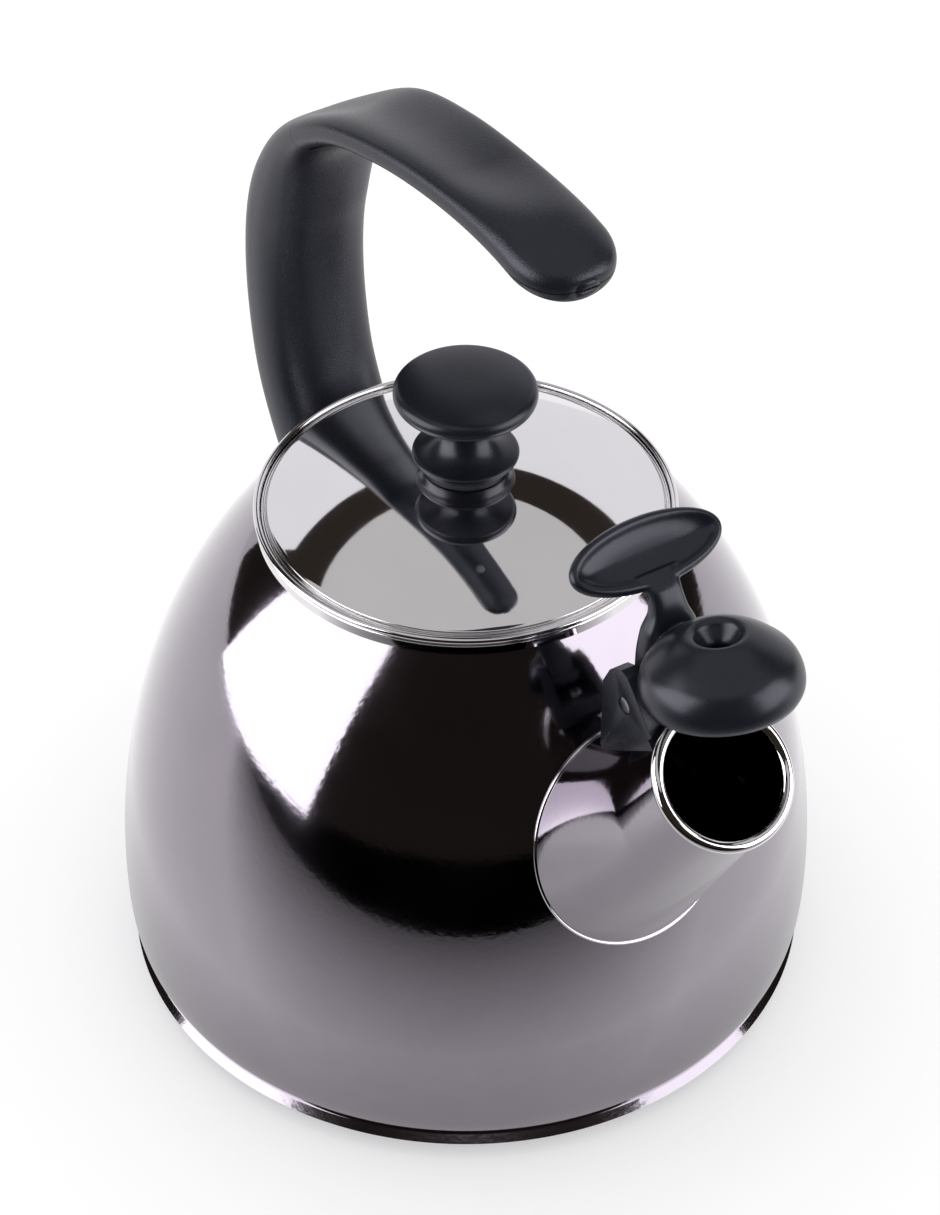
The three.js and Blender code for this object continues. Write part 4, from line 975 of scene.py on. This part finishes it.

# %% [markdown]
# ## Fixings and bracket
# Screws, pins, washers and the whistle's bracket are cut shapes with flat faces. Their solids from
# the frame are right, so the bracket, the pivot pin, the handle screw and the bracket screw each get
# a merged copy with a small bevel on each hard edge, which is what makes a real edge catch the
# light.
# The hidden fixings keep the frame's shape and get only a finish.

# %% Fixings
def bevelled(node, body, slot, material, width_mm, segments=3):
    """A copy of a node, merged, its flat faces joined, and its hard edges bevelled."""
    b = bmesh.new()
    b.from_mesh(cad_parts[node].data)
    bmesh.ops.remove_doubles(b, verts=b.verts, dist=2e-6)
    bmesh.ops.dissolve_limit(b, angle_limit=np.radians(1.5), verts=b.verts, edges=b.edges)
    mesh = bpy.data.meshes.new(node + "_fine")
    b.to_mesh(mesh)
    b.free()
    o = bpy.data.objects.new(node + "_fine", mesh)
    bpy.context.scene.collection.objects.link(o)
    m = o.modifiers.new("edges", "BEVEL")
    m.width, m.segments, m.limit_method = width_mm * MM, segments, "ANGLE"
    m.angle_limit = np.radians(32)
    m.use_clamp_overlap = True
    settled(o)
    return placed(o, body, slot, material, node)


bevelled("whistle_bracket", "kettle", "black_nylon", finishes["black_nylon"], 0.45)
bevelled("pivot_pin", "kettle", "satin_steel", finishes["satin_steel"], 0.2)
bevelled("handle_screw", "kettle", "satin_steel", finishes["satin_steel"], 0.2)
bevelled("bracket_screw", "kettle", "satin_steel", finishes["satin_steel"], 0.15)
for node in ("spout_boss", "handle_core", "handle_bracket", "grip_screw_1", "grip_screw_2",
             "knob_washer", "knob_screw", "knob_insert"):
    finish = "brass" if node == "knob_insert" else "satin_steel"
    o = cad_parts[node]
    o.data.materials.clear()
    o.data.materials.append(finishes[finish])
print("hidden fixings keep their own shape")

# %% [markdown]
# ## Whistle
# The whistle cap, its lever and the oval thumb paddle are one moulding. Three closed surfaces that
# overlap are turned into one skin on a fine grid of cubes and relaxed, which rounds the inner
# corners as a mould does. Points that lie near the dome are then put back on its exact outline, so
# that it stays true.

# %% Whistle cap outline
PIN_BACK, PIN_DROP, PIN_R, PIN_CLEAR, OPEN_ANGLE = 26.4, 8.8, 1.5, 0.3, np.radians(52)
ARM_W, CAP_R, CAP_H, CAP_WALL, VENT_R, CAP_BORE = 17, 21.2, 19.9, 1.8, 6.4, 3
PLUG_R, PLUG_SINK, PADDLE_W, PADDLE_T = 13.4, 1.2, 22.5, 4.2
BASE_SEAT_R, BARREL_R, PADDLE_H = CAP_R - CAP_WALL - 2.2, 4.2, 9.4
PIN = swing(np.array([-PIN_BACK, 0, -PIN_DROP]), SPOUT_TURN, MOUTH)
cap_low = RIM_R + GAP + 0.2
t = np.linspace(0, 1, 40)
cap_skin = np.vstack([
    arc((CAP_R - 1.9, cap_low + 0.6), 0.6, -90, -10, 6),
    cubic([(CAP_R - 1.3, cap_low + 0.6), (CAP_R + 0.3, cap_low + 2.2), (CAP_R - 0.2, CAP_H - 9.7),
           (CAP_R - 3.4, CAP_H - 6.6)], t),
    cubic([(CAP_R - 3.4, CAP_H - 6.6), (CAP_R - 5.9, CAP_H - 4.2), (CAP_R - 10, CAP_H - 0.6),
           (VENT_R + 1.3, CAP_H)], t)[1:],
    cubic([(VENT_R + 1.2, CAP_H), (VENT_R + 0.4, CAP_H), (VENT_R - 0.5, CAP_H - 0.5),
           (VENT_R - 0.9, CAP_H - 1.6)], t[::4]),
    soften([(CAP_BORE + 0.6, CAP_H - 4), (CAP_BORE, CAP_H - 5), (CAP_BORE, CAP_H - 9)], 0.5,
           closed=False)])


def to_pin(part):
    """From the spout's own frame, open as the whistle rests, into the kettle's frame."""
    local = np.array([PIN_BACK, 0, PIN_DROP])
    return moved(part, lambda p: swing(p + local, SPOUT_TURN - OPEN_ANGLE, PIN))


def lever_grid():
    """Rounded-square sections along the lever: centre, half width, half thickness and lean."""
    rows = np.array([
        (-26.6, -6.5, 8.5, 3.2, 0), (-25.6, 0, 8.5, 3.4, 6), (-24, 6, 8.4, 3.8, 8),
        (-22.6, 12, 7.4, 4, 5), (-22.2, 17, 5.2, 3, -4), (-23, 21.5, 4.7, 2.2, -24),
        (-27, 25.4, 6.6, 2, -38)], float)
    fine = np.linspace(0, len(rows) - 1, 60)
    x, z, w, th, lean = (through(np.c_[np.arange(len(rows)), rows[:, k]], 12)[:, 1]
                         for k in range(5))
    where = np.linspace(0, len(rows) - 1, len(x))
    x, z, w, th, lean = (np.interp(fine, where, v)[:, None] for v in (x, z, w, th, lean))
    a = np.linspace(0, 2 * np.pi, 64, endpoint=False)[None, :]
    square = lambda v: np.sign(v) * np.abs(v) ** 0.6
    d, lean = th * square(np.sin(a)), np.radians(lean)
    return np.stack([x - d * np.cos(lean), w * square(np.cos(a)), z + d * np.sin(lean)], -1)


def paddle_grid():
    """Ovals, each given as how far it lies inside the rim and how high: a thick rounded rim round
    a hollow face."""
    half, high = PADDLE_T / 2, PADDLE_H
    rings = np.array([(high - 0.6, -half - 0.2), (6, -half - 0.15), (3.2, -half),
                      (1.1, -half + 0.5), (0.1, -0.5), (0, 0.5), (0.5, half - 0.5), (1.4, half),
                      (2.4, half - 0.5), (3.4, half - 1.5), (6, half - 2.3),
                      (high - 0.6, half - 2.6)])
    rings = soften(rings, 5, 5, closed=False)
    inset, h = rings[:, :1], rings[:, 1:]
    a = np.linspace(0, 2 * np.pi, 120, endpoint=False)[None, :]
    p = np.stack([h + 0 * a, (PADDLE_W - inset) * np.cos(a), (high - inset) * np.sin(a)], -1)
    return swing(p, np.radians(-42), (-30.2, 0, 29.4))


def drum(radius, low, high, at, around=64):
    """A round bar across Y between two widths, at a point of the spout's frame."""
    p, q, t3 = rod(radius, low, high, around)
    return np.stack([p[:, 0] + at[0], p[:, 2], p[:, 1] + at[1]], -1), q, t3


# %% Whistle cap
def one_skin(name, part, voxel, rounds):
    """The parts as one skin on cubes of a size, relaxed a number of rounds."""
    o = mesh_object(name, *part)
    m = o.modifiers.new("skin", "REMESH")
    m.mode, m.voxel_size, m.use_smooth_shade = "VOXEL", voxel * MM, True
    m = o.modifiers.new("relax", "SMOOTH")
    m.factor, m.iterations = 0.5, rounds
    return settled(o)


def points_of(o):
    p = np.empty(len(o.data.vertices) * 3, np.float32)
    o.data.vertices.foreach_get("co", p)
    return p.reshape(-1, 3).astype(float) / MM


dome = turned(np.vstack([[(0, cap_low)], cap_skin, [(0, CAP_H - 9)]]), 128)
pin_at = (-PIN_BACK, -PIN_DROP)
cap = one_skin("whistle", joined(dome, loft(lever_grid()), loft(paddle_grid()),
                                 drum(BARREL_R, -ARM_W / 2, ARM_W / 2, pin_at)), 0.36, 14)


def trued(p):
    """Points near the dome moved onto its outline: the nearest point of a fine outline, by a weight
    that falls from 1 to 0 between 0.25 and 0.6 mm, and to 0 near the lever."""
    r = np.hypot(p[:, 0], p[:, 1])
    q = np.c_[r, p[:, 2]]
    near = (r < CAP_R + 1.5) & (p[:, 2] > cap_low - 1)
    which = np.flatnonzero(near)
    gap2 = ((q[which, None] - cap_skin[None]) ** 2).sum(-1)
    best = cap_skin[gap2.argmin(1)]
    off = np.sqrt(gap2.min(1))
    lever_side = smooth(-p[which, 0], 13.5, 15.5) * (1 - smooth(np.abs(p[which, 1]), 9.5, 12))
    weight = (1 - smooth(off, 0.25, 0.6)) * (1 - lever_side)
    ratio = (best[:, 0] / np.maximum(r[which], 1e-6) - 1) * weight
    p[which, :2] *= 1 + ratio[:, None]
    p[which, 2] += (best[:, 1] - p[which, 2]) * weight
    return p


fine_t = np.linspace(0, len(cap_skin) - 1, 900)
cap_skin = np.c_[[np.interp(fine_t, np.arange(len(cap_skin)), cap_skin[:, k]) for k in (0, 1)]].T
p = trued(points_of(cap))
cap.data.vertices.foreach_set("co", (p * MM).astype(np.float32).ravel())
edge, cone = CAP_R - CAP_WALL, VENT_R + CAP_WALL
hollow = turned(np.array([
    (0, cap_low - 1), (BASE_SEAT_R + GAP, cap_low - 1), (BASE_SEAT_R + GAP, cap_low + 3.4),
    (edge - 1.2, cap_low + 5), (edge - 1.5, CAP_H - 11), (edge - 5, CAP_H - 5.6),
    (cone + 1.4, CAP_H - 2.4 - CAP_WALL), (cone - 2, CAP_H - 6 - CAP_WALL / 2),
    (0, CAP_H - 6 - CAP_WALL / 2)]), 96)
cut(cap, hollow)
cut(cap, drum(PIN_R + PIN_CLEAR, -ARM_W, ARM_W, pin_at))
p, _, _ = to_pin((points_of(cap), None, None))
cap.data.vertices.foreach_set("co", (p * MM).astype(np.float32).ravel())
cap.data.update()
placed(cap, "whistle", "black_nylon", finishes["fine_nylon"], "whistle_cap")

# %% Whistle base and discs
DISC_R, DISC_T, DISC_HOLE = PLUG_R - 1.6, 0.5, 1.8
seat = DISC_R + GAP
base_profile = soften([
    (PLUG_R, -PLUG_SINK), (PLUG_R, cap_low + 0.2), (BASE_SEAT_R, cap_low + 0.2),
    (BASE_SEAT_R, cap_low + 2.6), (seat, cap_low + 2.6), (seat, cap_low - 0.2),
    (DISC_R - 1.2, cap_low - 0.2), (DISC_R - 1.2, cap_low - 1.6), (seat, cap_low - 1.6),
    (seat, -PLUG_SINK)], 0.3)
base = mesh_object("whistle_seat", *to_pin(turned(base_profile, 128)))
placed(base, "whistle", "black_nylon", finishes["fine_nylon"], "whistle_base")
for name, z in (("whistle_disc_upper", RIM_R + 2 * GAP + 0.2),
                ("whistle_disc_lower", cap_low - 1.6 - GAP - DISC_T)):
    disc_profile = soften([(DISC_HOLE, z), (DISC_R, z), (DISC_R, z + DISC_T),
                           (DISC_HOLE, z + DISC_T)], 0.12)
    disc = mesh_object(name + "_fine", *to_pin(turned(disc_profile, 128)))
    placed(disc, "whistle", "satin_steel", finishes["satin_steel"], name)
